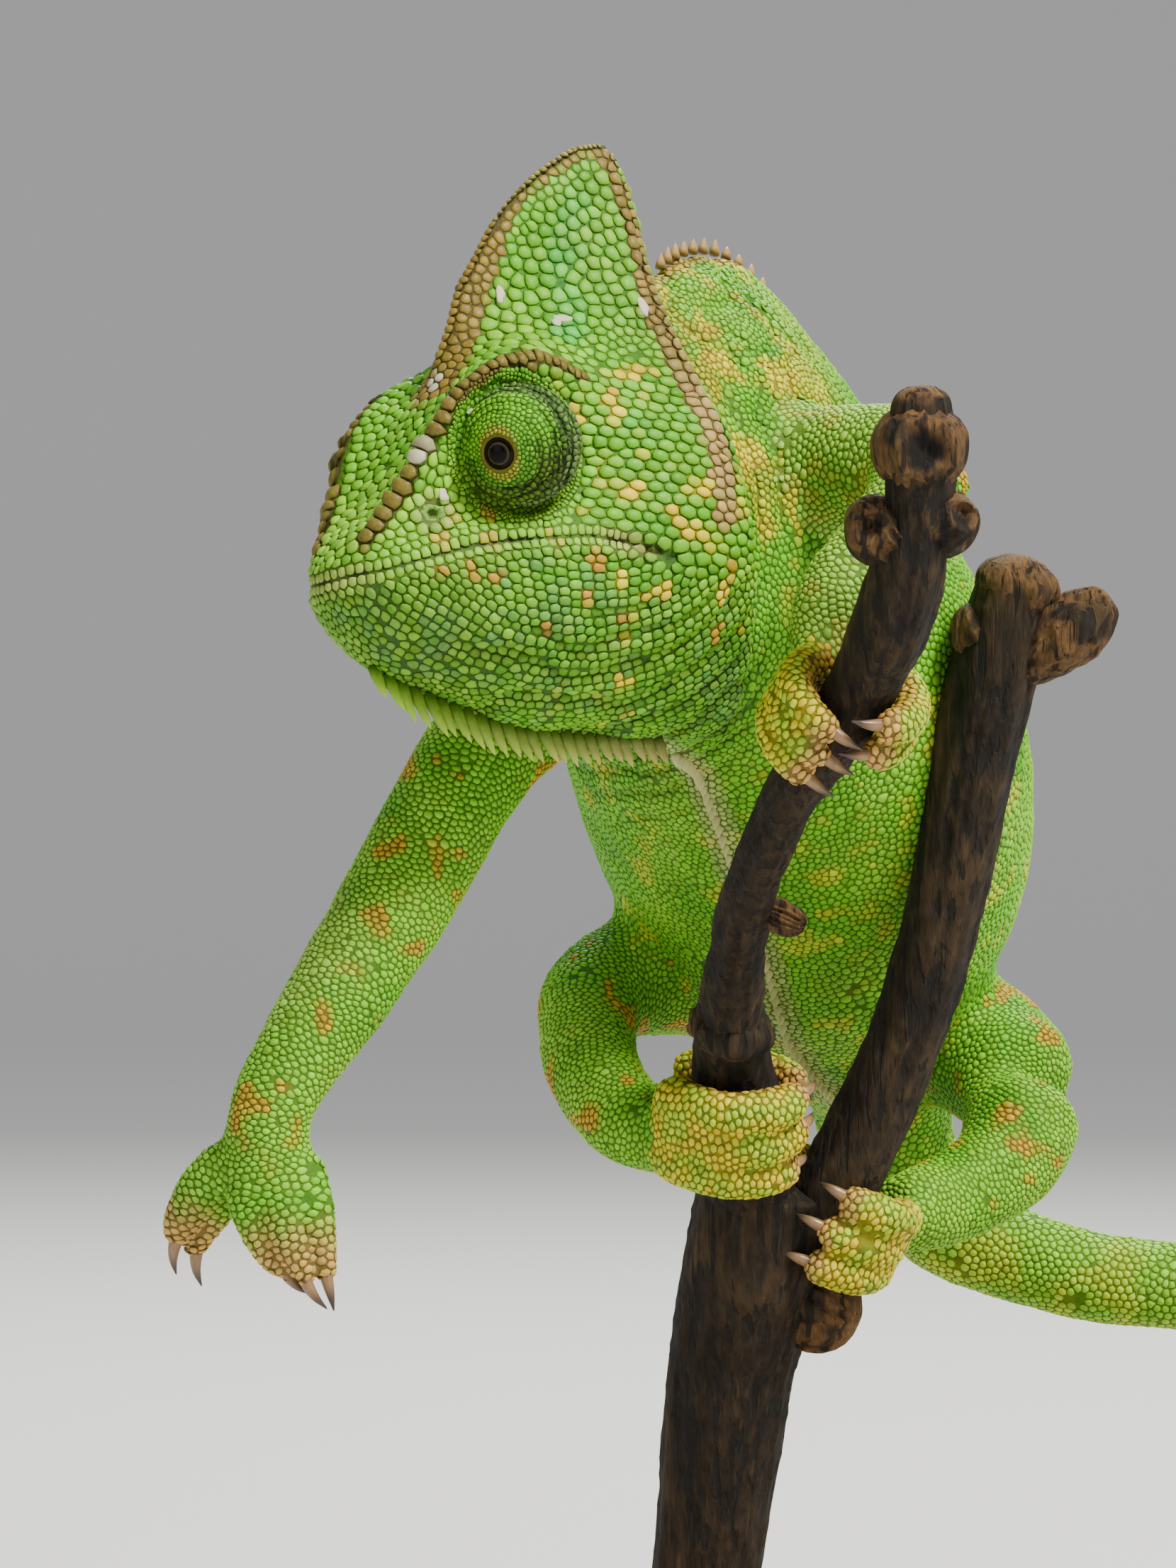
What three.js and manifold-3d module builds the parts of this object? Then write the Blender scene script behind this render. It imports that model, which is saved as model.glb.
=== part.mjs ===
// A veiled chameleon, life size, climbing a forked dry twig on a display stand.
// Millimetres, +Z up. The origin is the middle of the underside of the stand's base.
// The animal looks towards -Y; its own left side is on +X.
//
// Every soft form is a closed surface of two parameters: a section carried along a line. The forms are
// joined or parted into named pieces, with a thin gap left between neighbours.
import * as THREE from "three";
import { ParametricGeometry } from "three/addons/geometries/ParametricGeometry.js";
import { mergeVertices } from "three/addons/utils/BufferGeometryUtils.js";
import Module from "manifold-3d";

const wasm = await Module();
wasm.setup();

// ---- Driving dimensions ----
const GAP = 0.3; // between neighbouring pieces
const FINEST = 0.05; // shape smaller than this is smoothed away
const STUDY_AT = [-23, -65, 136]; // the point between perch and animal that all their places count from

const HEAD_AT = [-13.9, 8.5, 34.5]; // between the eyes
const HEAD_TURN = 40; // degrees, from facing -X towards facing -Y
const HEAD_NOD = 10; // degrees, snout down
const HEAD_TILT = 8; // degrees, the right side down

const EYE_SIDE = 11; // each turret's centre from the middle of the head
const EYE_RADIUS = 6.4;
const EYEBALL_RADIUS = 2.6;
const EYE_OPENING = 1.7; // radius of the round hole between the lids

const GULAR_SPIKES = 22;
const BACK_SPIKES = 24;
const CLAW_LENGTH = 3.4;
const CLAW_RADIUS = 1;

const BASE_RADIUS = 76;
const BASE_HEIGHT = 10;
const BASE_BEVEL = 1.5;
const ROD_RADIUS = 4;
const ROD_TOP = 45;

// ---- Small tools ----
const vec = (x, y, z) => new THREE.Vector3(x, y, z);
const at = (p) => vec(...p).add(vec(...STUDY_AT));

// A smooth line through [place, value] pairs: a function of place.
function curve(knots) {
  const last = knots.length - 1;
  const sorted = knots[0][0] < knots[last][0] ? knots : [...knots].reverse();
  const value = (k) => sorted[THREE.MathUtils.clamp(k, 0, last)][1];
  return (x) => {
    const near = THREE.MathUtils.clamp(x, sorted[0][0], sorted[last][0]);
    let i = 0;
    while (i < last - 1 && near > sorted[i + 1][0]) i++;
    const t = (near - sorted[i][0]) / (sorted[i + 1][0] - sorted[i][0]);
    return blend([i - 1, i, i + 1, i + 2].map(value), t);
  };
}

// The smooth step between the middle two of four values.
function blend([a, b, c, d], t) {
  const slope = 0.5 * (c - a);
  const bend = a - 2.5 * b + 2 * c - 0.5 * d;
  const twist = 1.5 * (b - c) + 0.5 * (d - a);
  return b + t * (slope + t * (bend + t * twist));
}

function solidOf(geometry) {
  geometry.deleteAttribute("normal");
  geometry.deleteAttribute("uv");
  const merged = mergeVertices(geometry, 1e-4);
  const index = [];
  for (let i = 0; i < merged.index.count; i += 3) {
    const [a, b, c] = [0, 1, 2].map((k) => merged.index.getX(i + k));
    if (a !== b && b !== c && c !== a) index.push(a, b, c);
  }
  const build = (triangles) =>
    new wasm.Manifold(
      new wasm.Mesh({
        numProp: 3,
        vertProperties: new Float32Array(merged.attributes.position.array),
        triVerts: new Uint32Array(triangles),
      }),
    );
  const made = build(index);
  return made.volume() > 0 ? made : build(index.reverse());
}

// The solid inside a closed surface f(t, turn): t runs from pole to pole, turn once around.
const surface = (f, along, around) =>
  solidOf(new ParametricGeometry((u, v, out) => out.copy(f(v, u)), around, along));

const joined = (solids) => solids.reduce((whole, next) => whole.add(next));
const largest = (solid) => solid.decompose().reduce((a, b) => (a.volume() > b.volume() ? a : b));

// A section carried along a smooth line. width, up and down are its half-sizes at share t of the line, and
// upward(t) the direction that up follows. peak above 1 draws the upper half to a ridge.
function loft({ points, width, up, down, upward, peak = 1, ends = 0.06, grow = 0, along = 16, around = 12 }) {
  const line = new THREE.CatmullRomCurve3(points.map(at), false, "catmullrom", 0.5);
  const cap = (t) => {
    const near = Math.min(t, 1 - t) / ends;
    return near >= 1 ? 1 : Math.sqrt(Math.max(0, 1 - (1 - near) ** 2));
  };
  const slowStart = (t) => t * (1 - ends) + 2 * t * t * ends;
  const ease = (t) => (t < 0.5 ? slowStart(t) : 1 - slowStart(1 - t));
  return surface(
    (share, turn) => {
      const t = ease(share);
      const forward = line.getTangent(THREE.MathUtils.clamp(t, 0.001, 0.999));
      const side = vec(...upward(t)).cross(forward).normalize();
      const top = forward.clone().cross(side);
      const [c, s] = [Math.cos(2 * Math.PI * turn), Math.sin(2 * Math.PI * turn)];
      const across = Math.sign(c) * Math.abs(c) ** (s > 0 ? peak : 1) * (width(t) + grow) * cap(t);
      const high = s * ((s > 0 ? up : down)(t) + grow) * cap(t);
      return line.getPoint(t).addScaledVector(side, across).addScaledVector(top, high);
    },
    along,
    around,
  );
}

const evenly = (values) => curve(values.map((value, i) => [i / (values.length - 1), value]));

// A round tube through the points, its radii spread evenly along it.
function tube(points, radii, options = {}) {
  const { grow = 0, along = 3 * points.length, around = 10, ends = 0.05, lean = [0.1, 0.9, 0.3] } = options;
  const r = evenly(radii);
  return loft({ points, width: r, up: r, down: r, upward: () => lean, grow, along, around, ends });
}

function ball(centre, radius, around = 12) {
  const g = new THREE.SphereGeometry(radius, around, Math.round(around * 0.7));
  g.translate(...centre.toArray());
  return solidOf(g);
}

function spike(foot, tip, radius, sides = 4) {
  const axis = tip.clone().sub(foot);
  const g = new THREE.ConeGeometry(radius, axis.length(), sides);
  g.translate(0, axis.length() / 2, 0);
  g.applyQuaternion(new THREE.Quaternion().setFromUnitVectors(vec(0, 1, 0), axis.clone().normalize()));
  g.translate(...foot.toArray());
  return solidOf(g);
}

// Everything on the side of a plane that its normal points to, moved off the plane by the given distance.
function beyond(point, normal, off = GAP / 2) {
  const size = 500;
  const g = new THREE.BoxGeometry(size, size, size);
  g.translate(0, 0, size / 2 + off);
  g.applyQuaternion(new THREE.Quaternion().setFromUnitVectors(vec(0, 0, 1), normal.clone().normalize()));
  g.translate(...point.toArray());
  return solidOf(g);
}

// The pieces of a solid between cutting planes given in order as [point, normal].
function slices(solid, cuts) {
  const planes = cuts.map(([p, n]) => [at(p), vec(...n)]);
  return [...planes, null].map((after, i) => {
    const before = planes[i - 1];
    let piece = solid;
    if (before) piece = piece.intersect(beyond(before[0], before[1]));
    if (after) piece = piece.intersect(beyond(after[0], after[1].clone().negate()));
    return largest(piece);
  });
}

const root = new THREE.Group();
function node(name, solid, colour, roughness = 0.6) {
  const mesh = largest(largest(solid).simplify(FINEST)).getMesh();
  const geometry = new THREE.BufferGeometry();
  geometry.setAttribute("position", new THREE.BufferAttribute(new Float32Array(mesh.vertProperties), 3));
  geometry.setIndex(new THREE.BufferAttribute(new Uint32Array(mesh.triVerts), 1));
  geometry.computeVertexNormals();
  const finish = new THREE.MeshStandardMaterial({ color: colour, roughness, metalness: 0 });
  const made = new THREE.Mesh(geometry, finish);
  made.name = name;
  root.add(made);
}

const GREEN = 0x78b23a;
const DARK_GREEN = 0x5f8f2e;
const BLACK = 0x0a0908;
const BARK = 0x4a3420;
const TIMBER = 0x8a6a48;
const STEEL = 0x2a2b2c;

// ---- Perch: a dry stem that forks into two twigs ----
const STEM = {
  points: [[13.2, 70.5, -101], [14.2, 70, -90], [16.6, 67, -70], [18.8, 64, -58], [20.6, 61.5, -45.5]],
  radii: [6.2, 6.4, 7.2, 8, 7.6],
};
const FRONT_TWIG = {
  points: [[19.5, 60.5, -50], [17.4, 55, -38], [16.2, 48, -28.5], [16.6, 40, -20], [18, 31, -12],
    [21.4, 20, -2.6], [26, 13, 4.6], [30.2, 8, 12], [33.2, 4, 19.4], [34.8, 1, 27.6], [35.4, 0, 35],
    [35.4, -0.2, 42.4]],
  radii: [5.4, 5.2, 4, 3.2, 2.9, 3.4, 4, 4.1, 4.3, 4.2, 4.8, 4.2],
};
const BACK_TWIG = {
  points: [[23.5, 64, -56], [27.6, 62, -48.9], [33.7, 59, -36.4], [38.4, 56, -24], [41.5, 53, -11.7],
    [43.5, 50, 0.5], [46, 47, 12.6], [49, 45, 24.5]],
  radii: [5, 4.8, 4.4, 4.3, 4.4, 4.7, 5, 4.2],
};
// Knobs and stubs of old side shoots, each from inside the twig to its blunt end, with the radius there.
const STEM_KNOBS = [[[20, 65, -58], [31.5, 63.6, -63], 5]];
const FRONT_KNOBS = [
  [[35.3, -0.2, 34], [35.2, -0.8, 40.4], 5.1],
  [[33.6, 2, 23.5], [28.4, 0.6, 30], 3.6],
  [[34.4, 2, 24.5], [40.8, 1.4, 30], 3.4],
  [[18.6, 33, -13.6], [24.2, 33.6, -16], 1.8],
  [[17, 45, -25], [15.8, 48.4, -30.2], 4.6],
];
const BACK_KNOBS = [
  [[47.6, 46, 18], [49, 45, 26], 4.6],
  [[47, 46, 12], [59.4, 45, 21], 3.9],
  [[46.6, 46.6, 13], [43, 45, 20.4], 3.4],
];
const KNOB_FORM = { along: 4, around: 6, ends: 0.25 };
const knob = ([from, to, r], grow) => tube([from, to], [r * 0.8, r, r], { ...KNOB_FORM, grow });
const knobs = (list, grow) => joined(list.map((one) => knob(one, grow)));
const twig = ({ points, radii }, stubs, grow, along, around, ends) =>
  tube(points, radii, { grow, along, around, ends }).add(knobs(stubs, grow));
const stem = (grow = 0) => twig(STEM, STEM_KNOBS, grow, 7, 10, 0.05);
const frontTwig = (grow = 0) => twig(FRONT_TWIG, FRONT_KNOBS, grow, 16, 8, 0.03);
const backTwig = (grow = 0) => twig(BACK_TWIG, BACK_KNOBS, grow, 12, 8, 0.03);
const perch = joined([stem(GAP), frontTwig(GAP), backTwig(GAP)]);

// ---- Head: x forward from the eyes, y to its left, z up ----
const turned = (() => {
  const [turn, nod, tilt] = [HEAD_TURN, HEAD_NOD, HEAD_TILT].map(THREE.MathUtils.degToRad);
  const forward = vec(-Math.cos(turn) * Math.cos(nod), -Math.sin(turn) * Math.cos(nod), -Math.sin(nod));
  const level = vec(Math.sin(turn), -Math.cos(turn), 0);
  const upright = forward.clone().cross(level);
  const left = level.multiplyScalar(Math.cos(tilt)).addScaledVector(upright, Math.sin(tilt));
  return new THREE.Matrix4().makeBasis(forward, left, forward.clone().cross(left)).setPosition(at(HEAD_AT));
})();
const HEAD_ALONG = 24; // faces from the snout to the nape
const HEAD_AROUND = 28;
const headPoint = (x, y, z) => vec(x, y, z).applyMatrix4(turned);
const headWay = (x, y, z) => vec(x, y, z).transformDirection(turned);

const SNOUT = 21.9;
const OCCIPUT = -30.4;
const NOSE_ROUND = 4.5; // length over which the snout closes
const NAPE_ROUND = 3.2; // length over which the back of the head closes
const MOUTH_Z = -10.7;
const CASQUE_LEAN = 4; // how far the casque's peak reaches back beyond the nape

const HEAD = {
  top: curve([[22, -6.6], [18, -5.2], [14, -2.6], [10, 0.8], [5, 5.8], [2, 8.7], [0, 12], [-5, 19.4],
    [-13, 27], [-21.5, 31.9], [-27, 32.6], [-30, 31.6]]),
  blade: curve([[22, 1.6], [10, 4], [2, 4], [-2, 3], [-8, 2.6], [-16, 3.2], [-24, 4.2], [-30, 4.8]]),
  bladeZ: curve([[22, -6.6], [14, -2.8], [5, 5.4], [2, 7.6], [-2, 11], [-8, 14.5], [-16, 17], [-30, 18]]),
  ridge: curve([[22, 3], [18, 4.6], [15, 6.2], [12, 7.8], [7, 9.4], [3, 10.3], [0, 10.6], [-6, 10.6],
    [-12, 10.2], [-20, 10.2], [-30, 10.2]]),
  ridgeZ: curve([[22, -7.4], [18, -5.8], [15, -2.8], [12, 1.2], [7, 6], [3, 8.4], [0, 9.3], [-6, 8.9],
    [-12, 5.8], [-18, 4], [-24, 3.6], [-30, 4]]),
  cheek: curve([[22, 4.2], [18, 5.6], [14, 7], [10, 7.8], [5, 8.2], [0, 8.6], [-6, 9.8], [-12, 12.2],
    [-18, 13.8], [-24, 13.8], [-30, 12.8]]),
  cheekZ: curve([[22, -8.8], [14, -6.4], [5, -3], [0, -1.5], [-6, -1.5], [-12, -3], [-30, -4]]),
  lip: curve([[22, 5], [18, 7.2], [14, 9], [10, 10.4], [5, 11.5], [0, 12.5], [-6, 13.4], [-12, 14.2],
    [-18, 14.8], [-24, 14.4], [-30, 12.4]]),
  lipZ: curve([[22, -11], [10, -10.6], [0, -10.9], [-8, -11.8], [-18, -13.5], [-30, -15]]),
  jaw: curve([[22, 4], [18, 6], [14, 7.6], [10, 9], [5, 10], [0, 10.8], [-6, 11.4], [-12, 11.9],
    [-18, 11.8], [-30, 9.6]]),
  jawZ: curve([[22, -14.2], [14, -16.8], [5, -19.8], [-6, -22], [-18, -24], [-30, -25.5]]),
  keel: curve([[22, -15.6], [18, -19.6], [14, -22.4], [11, -24.3], [3, -28.4], [-6, -31.3],
    [-16, -33.5], [-25, -35.6], [-30, -36]]),
};
const HEAD_RING = [[null, "top"], ["blade", "bladeZ"], ["ridge", "ridgeZ"], ["cheek", "cheekZ"],
  ["lip", "lipZ"], ["jaw", "jawZ"], [null, "keel"]];

function headSolid(grow) {
  const back = OCCIPUT - grow;
  const front = SNOUT + grow;
  return surface(
    (t, turn) => {
      const x = front + (back - front) * (0.5 - 0.5 * Math.cos(Math.PI * t)) ** 0.9;
      const ring = HEAD_RING.map(([y, z]) => [y ? HEAD[y](x) : 0, HEAD[z](x)]);
      const last = ring.length - 1;
      const v = (turn < 0.5 ? turn : 1 - turn) * 2 * last;
      const i = Math.min(Math.floor(v), last - 1);
      const mirrored = ([y, z]) => [-y, z];
      const pick = (k) => (k < 0 ? mirrored(ring[1]) : k > last ? mirrored(ring[last - 1]) : ring[k]);
      const four = [i - 1, i, i + 1, i + 2].map(pick);
      const near = Math.min((front - x) / NOSE_ROUND, (x - back) / NAPE_ROUND, 1);
      const close = Math.sqrt(Math.max(0, 1 - (1 - near) ** 2));
      const y = Math.max(0, blend(four.map((p) => p[0]), v - i));
      const z = blend(four.map((p) => p[1]), v - i) - MOUTH_Z;
      const swell = 1 + grow / Math.max(2, Math.hypot(y, z));
      const height = MOUTH_Z + z * swell * close;
      const rear = THREE.MathUtils.clamp((-8 - x) / 22, 0, 1) ** 2;
      const lean = CASQUE_LEAN * rear * THREE.MathUtils.smoothstep(height, 8, 32);
      return headPoint(x - lean, Math.sign(0.5 - turn) * y * swell * close, height);
    },
    HEAD_ALONG,
    HEAD_AROUND,
  );
}
const wholeHead = headSolid(0);
const headRoom = headSolid(2 * GAP);

// ---- Eyes: a turret of joined lids, with the eyeball in its opening ----
const GAZE = { left: vec(-0.36, -0.9, -0.2).normalize(), right: vec(-0.95, 0.18, -0.05).normalize() };
const aimed = (g, way) => g.applyQuaternion(new THREE.Quaternion().setFromUnitVectors(vec(0, 1, 0), way));
function eye(side) {
  const centre = headPoint(0, (side === "left" ? 1 : -1) * EYE_SIDE, 0);
  const gaze = GAZE[side];
  const bore = aimed(new THREE.CylinderGeometry(EYE_OPENING, EYE_OPENING, EYE_RADIUS, 10), gaze);
  bore.translate(...centre.clone().addScaledVector(gaze, EYE_RADIUS * 1.1).toArray());
  const pupilAt = centre.clone().addScaledVector(gaze, EYE_RADIUS - EYEBALL_RADIUS * 0.92);
  return {
    lids: ball(centre, EYE_RADIUS, 14).subtract(solidOf(bore).add(ball(pupilAt, EYEBALL_RADIUS + GAP, 10))),
    eyeball: ball(pupilAt, EYEBALL_RADIUS, 10),
    socket: ball(centre, EYE_RADIUS + GAP, 14),
  };
}
const eyes = { left: eye("left"), right: eye("right") };
const skull = wholeHead.subtract(eyes.left.socket).subtract(eyes.right.socket);

// ---- Gular crest: cones along the keel of the throat, largest under the chin ----
const GULAR_CREST = { from: 19, to: -21, longest: 3.9, root: 1.4, slant: 0.6, radius: 1.25 };
const gularCrest = joined(
  Array.from({ length: GULAR_SPIKES }, (_, i) => {
    const { from, to, longest, root, slant, radius } = GULAR_CREST;
    const share = i / (GULAR_SPIKES - 1);
    const x = from + (to - from) * share;
    const long = longest * Math.min(1, 0.55 + 3 * share) * (1 - 0.45 * share);
    return spike(headPoint(x, 0, HEAD.keel(x) + root), headPoint(x - slant, 0, HEAD.keel(x) - long), radius);
  }),
);

const JAW_CORNER = headPoint(-9, 0, -11.4);
const JAW_WAYS = [headWay(0.03, 0, -1), headWay(1, 0, -0.35)];
const CASQUE_FOOT = headPoint(-4, 0, 12.5);
const CASQUE_WAY = headWay(-0.3, 0, 0.95);
const casquePart = (off) => beyond(CASQUE_FOOT, CASQUE_WAY, off);
const jawPart = (off) => {
  const [below, ahead] = JAW_WAYS.map((way) => beyond(JAW_CORNER, way, off));
  return below.intersect(ahead);
};

node("head", skull.subtract(jawPart(-GAP / 2)).subtract(casquePart(-GAP / 2)), GREEN);
node("casque", skull.intersect(casquePart(GAP / 2)), GREEN);
node("lower_jaw", skull.add(gularCrest).intersect(jawPart(GAP / 2)), GREEN);
for (const side of ["left", "right"]) {
  node("eye_" + side, eyes[side].lids, DARK_GREEN, 0.5);
  node("eyeball_" + side, eyes[side].eyeball, BLACK, 0.1);
}

// ---- Neck and trunk: one line from the head to the hips ----
const TRUNK = {
  points: [[2, 21, 31], [8, 34, 29], [15, 48, 25], [20.6, 62, 15], [25.8, 77, 2], [29.5, 91, -13],
    [34, 103, -27], [37, 111, -38], [38.5, 116, -46]],
  width: evenly([9, 12.5, 18, 25.5, 27.2, 24, 15, 9, 7]),
  up: evenly([19, 30.5, 37.5, 35, 33, 28, 18.5, 10, 7.5]),
  down: evenly([24, 26, 26, 27, 27, 24, 16.5, 9.5, 7.5]),
};
const LEAN = [[0, [-0.15, 0, 1]], [0.25, [0.03, 0.2, 1]], [0.4, [0.16, 0.45, 0.85]], [1, [0.28, 0.6, 0.72]]];
const leanCurves = [0, 1, 2].map((k) => curve(LEAN.map(([t, v]) => [t, v[k]])));
const trunkLean = (t) => leanCurves.map((f) => f(t));
const torso = (grow = 0) =>
  loft({ ...TRUNK, upward: trunkLean, peak: 1.9, ends: 0.05, grow, along: 20, around: 18 });

const NECK_END = [[11, 41, 28], [0.3, 1, -0.25]];
const TAIL_START = [[37, 111, -38], [0.1, 0.62, -0.78]];

const BACK_CREST = { from: 0.2, to: 0.9, root: 1.6, rise: 1.2, slant: 0.5, radius: 1.3 };
const backSpikes = (() => {
  const line = new THREE.CatmullRomCurve3(TRUNK.points.map(at), false, "catmullrom", 0.5);
  return joined(
    Array.from({ length: BACK_SPIKES }, (_, i) => {
      const t = BACK_CREST.from + ((BACK_CREST.to - BACK_CREST.from) * i) / (BACK_SPIKES - 1);
      const forward = line.getTangent(t);
      const side = vec(...trunkLean(t)).cross(forward).normalize();
      const top = forward.clone().cross(side);
      const rise = (h) => line.getPoint(t).addScaledVector(top, TRUNK.up(t) + h);
      const tip = rise(BACK_CREST.rise).addScaledVector(forward, BACK_CREST.slant);
      return spike(rise(-BACK_CREST.root), tip, BACK_CREST.radius);
    }),
  );
})();

const [neck, trunk] = slices(torso().add(backSpikes).subtract(perch), [NECK_END]);
const [trunkBody] = slices(trunk, [TAIL_START]);
node("neck", neck.subtract(headRoom).subtract(gularCrest), GREEN);
node("trunk", trunkBody, GREEN);

// ---- Tail: away to the left side, then rolled up ----
const CURL = { centre: [92, 107, -84], start: 20, end: 5, turns: 1.8, steps: 20 };
const TAIL_ROOT = [[36, 109, -35], [38, 115, -46], [46, 114, -55.5], [60, 110, -60.5], [76, 108, -62.5]];
const tailPoints = [
  ...TAIL_ROOT,
  ...Array.from({ length: CURL.steps }, (_, i) => {
    const share = i / (CURL.steps - 1);
    const angle = Math.PI * (0.5 - 2 * CURL.turns * share);
    const r = CURL.start + (CURL.end - CURL.start) * share ** 0.8;
    return [CURL.centre[0] + r * Math.cos(angle), CURL.centre[1], CURL.centre[2] + r * Math.sin(angle)];
  }),
];
const TAIL_RADII = [9.5, 6.1, 5.5, 4.9, 4.2, 3.4, 2.7, 2, 1.5, 1];
const tail = tube(tailPoints, TAIL_RADII, { ends: 0.02, along: 50, around: 7, lean: [0.05, 1, 0.02] });
const TAIL_MIDDLE = [[61, 110, -60.6], [1, -0.2, -0.15]];
const [, tailBase, tailRest] = slices(tail, [TAIL_START, TAIL_MIDDLE]);
node("tail_base", tailBase.subtract(trunkBody), GREEN);

// The straight stretch ends over the curl's centre, and stays above the turns inside it.
const curlTop = at([CURL.centre[0] + 1, CURL.centre[1], CURL.centre[2] + CURL.start]);
const aboveTurns = beyond(curlTop.clone().add(vec(0, 0, -6.4)), vec(0, 0, 1), 0);
const straight = (off) => beyond(curlTop, vec(-1, 0, 0), off).intersect(aboveTurns);
node("tail_mid", tailRest.intersect(straight(GAP / 2)), GREEN);
node("tail_curl", tailRest.subtract(straight(-GAP / 2)), GREEN);

// ---- Legs ----
const flesh = torso(GAP);

// A leg's tube. One that bends sharply is two tubes whose round ends meet in the joint.
function legOf({ points, radii, joint }, grow = 0) {
  const stretch = (from, to) => {
    const some = points.slice(from, to);
    return tube(some, radii.slice(from, to), { grow, along: 2 * some.length + 2, around: 9, ends: 0.12 });
  };
  return joint ? stretch(0, joint + 1).add(stretch(joint)) : stretch(0);
}

// A toe with its claw, which starts well inside the toe's end.
function toe(points, radii) {
  const end = vec(...points[points.length - 1]);
  const way = end.clone().sub(vec(...points[points.length - 2])).normalize();
  const reachOf = (far) => at(end.clone().addScaledVector(way, far).toArray());
  const claw = spike(reachOf(-CLAW_RADIUS), reachOf(CLAW_LENGTH), CLAW_RADIUS);
  return [tube(points, radii, { along: 6, around: 6, ends: 0.14 }), claw];
}

// A bundle of toes that bends around a twig. from and to are degrees around it, counted from the palm.
function grippingToes({ centre, axis, palm, reach, from, to, shifts, radius, slide = 0 }) {
  const up = vec(...axis).normalize();
  const back = vec(...palm).addScaledVector(up, -vec(...palm).dot(up)).normalize();
  const aside = up.clone().cross(back);
  const steps = 5;
  const toePoint = (shift, share) => {
    const angle = THREE.MathUtils.degToRad(from + (to - from) * share);
    return vec(...centre)
      .addScaledVector(back, Math.cos(angle) * reach)
      .addScaledVector(aside, Math.sin(angle) * reach)
      .addScaledVector(up, shift * (0.75 + 0.35 * share) + slide * share)
      .toArray();
  };
  return joined(
    shifts.flatMap((shift, k) => {
      const far = 0.92 + 0.04 * (k % 2);
      const points = Array.from({ length: steps + 1 }, (_, i) => toePoint(shift, (far * i) / steps));
      return toe(points, [radius * 1.05, radius, radius * 0.95, radius * 0.8]);
    }),
  );
}

const openToes = (toes) => joined(toes.flatMap((points) => toe(points, [3, 2.9, 2.3, 1.7])));

const FRONT_LEFT = {
  name: "left",
  parts: ["upper_arm", "forearm", "hand"],
  points: [[12, 46, 30], [20, 43.5, 34], [29, 37, 35.6], [38, 28, 36.5], [34.6, 23.5, 29.5],
    [27.5, 18.5, 20.5], [26.2, 18, 14.5], [28.6, 16, 9.8]],
  radii: [8, 8, 7.2, 6, 5.4, 4.9, 4.7, 4.2],
  joint: 3,
  cuts: [[[36.5, 25.6, 33], [-0.35, -0.6, -0.8]], [[26.4, 17.8, 15.8], [-0.1, -0.1, -1]]],
  grip: { centre: [27.6, 10.8, 8.2], axis: [0.436, -0.495, 0.75], palm: [0, 1, 0.3], reach: 6.4 },
  inner: { from: 25, to: 195, shifts: [-4.2, -1.2, 1.8], radius: 2.2, slide: -2 },
  outer: { from: -25, to: -160, shifts: [-1, 2.2], radius: 2.4, slide: -2 },
};
const HIND_RIGHT = {
  name: "right",
  parts: ["thigh", "shin", "foot"],
  points: [[30, 104, -26], [16, 93, -22.5], [2.5, 79, -24], [0, 68, -31], [3.8, 58, -38],
    [8, 54.4, -40], [10.6, 54.6, -39.2]],
  radii: [9, 8.6, 7, 6, 5.4, 5.2, 5],
  cuts: [[[1.4, 75, -26.6], [-0.2, -1, -0.6]], [[3.6, 57.5, -38], [0.5, -0.8, -0.45]]],
  grip: { centre: [17, 53.6, -38.2], axis: [0.1, -0.45, 0.9], palm: [-1, 0.2, 0], reach: 8.4 },
  inner: { from: 20, to: 172, shifts: [-4.4, 0, 4.4], radius: 2.9, slide: 2 },
  outer: { from: -25, to: -150, shifts: [-2.4, 2.4], radius: 2.6 },
};
const HIND_LEFT = {
  name: "left",
  parts: ["thigh", "shin", "foot"],
  points: [[38, 106, -28], [47, 97, -32], [53, 86, -37], [50, 80, -44.5], [44, 75, -48.5],
    [38.5, 70.5, -50.2], [34.5, 67, -50]],
  radii: [9, 9, 8, 6.6, 5.6, 5.2, 4.8],
  joint: 2,
  cuts: [[[52, 82.5, -41], [-0.4, -0.5, -0.8]], [[44, 75, -48.5], [-0.8, -0.6, -0.2]]],
  grip: { centre: [27.8, 62.6, -49.6], axis: [0.45, -0.2, 0.85], palm: [1, 0.6, 0], reach: 8 },
  inner: { from: -20, to: -140, shifts: [-4.2, 0, 4.2], radius: 2.7 },
  outer: { from: 25, to: 140, shifts: [-2.4, 2.4], radius: 2.5 },
};
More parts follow.
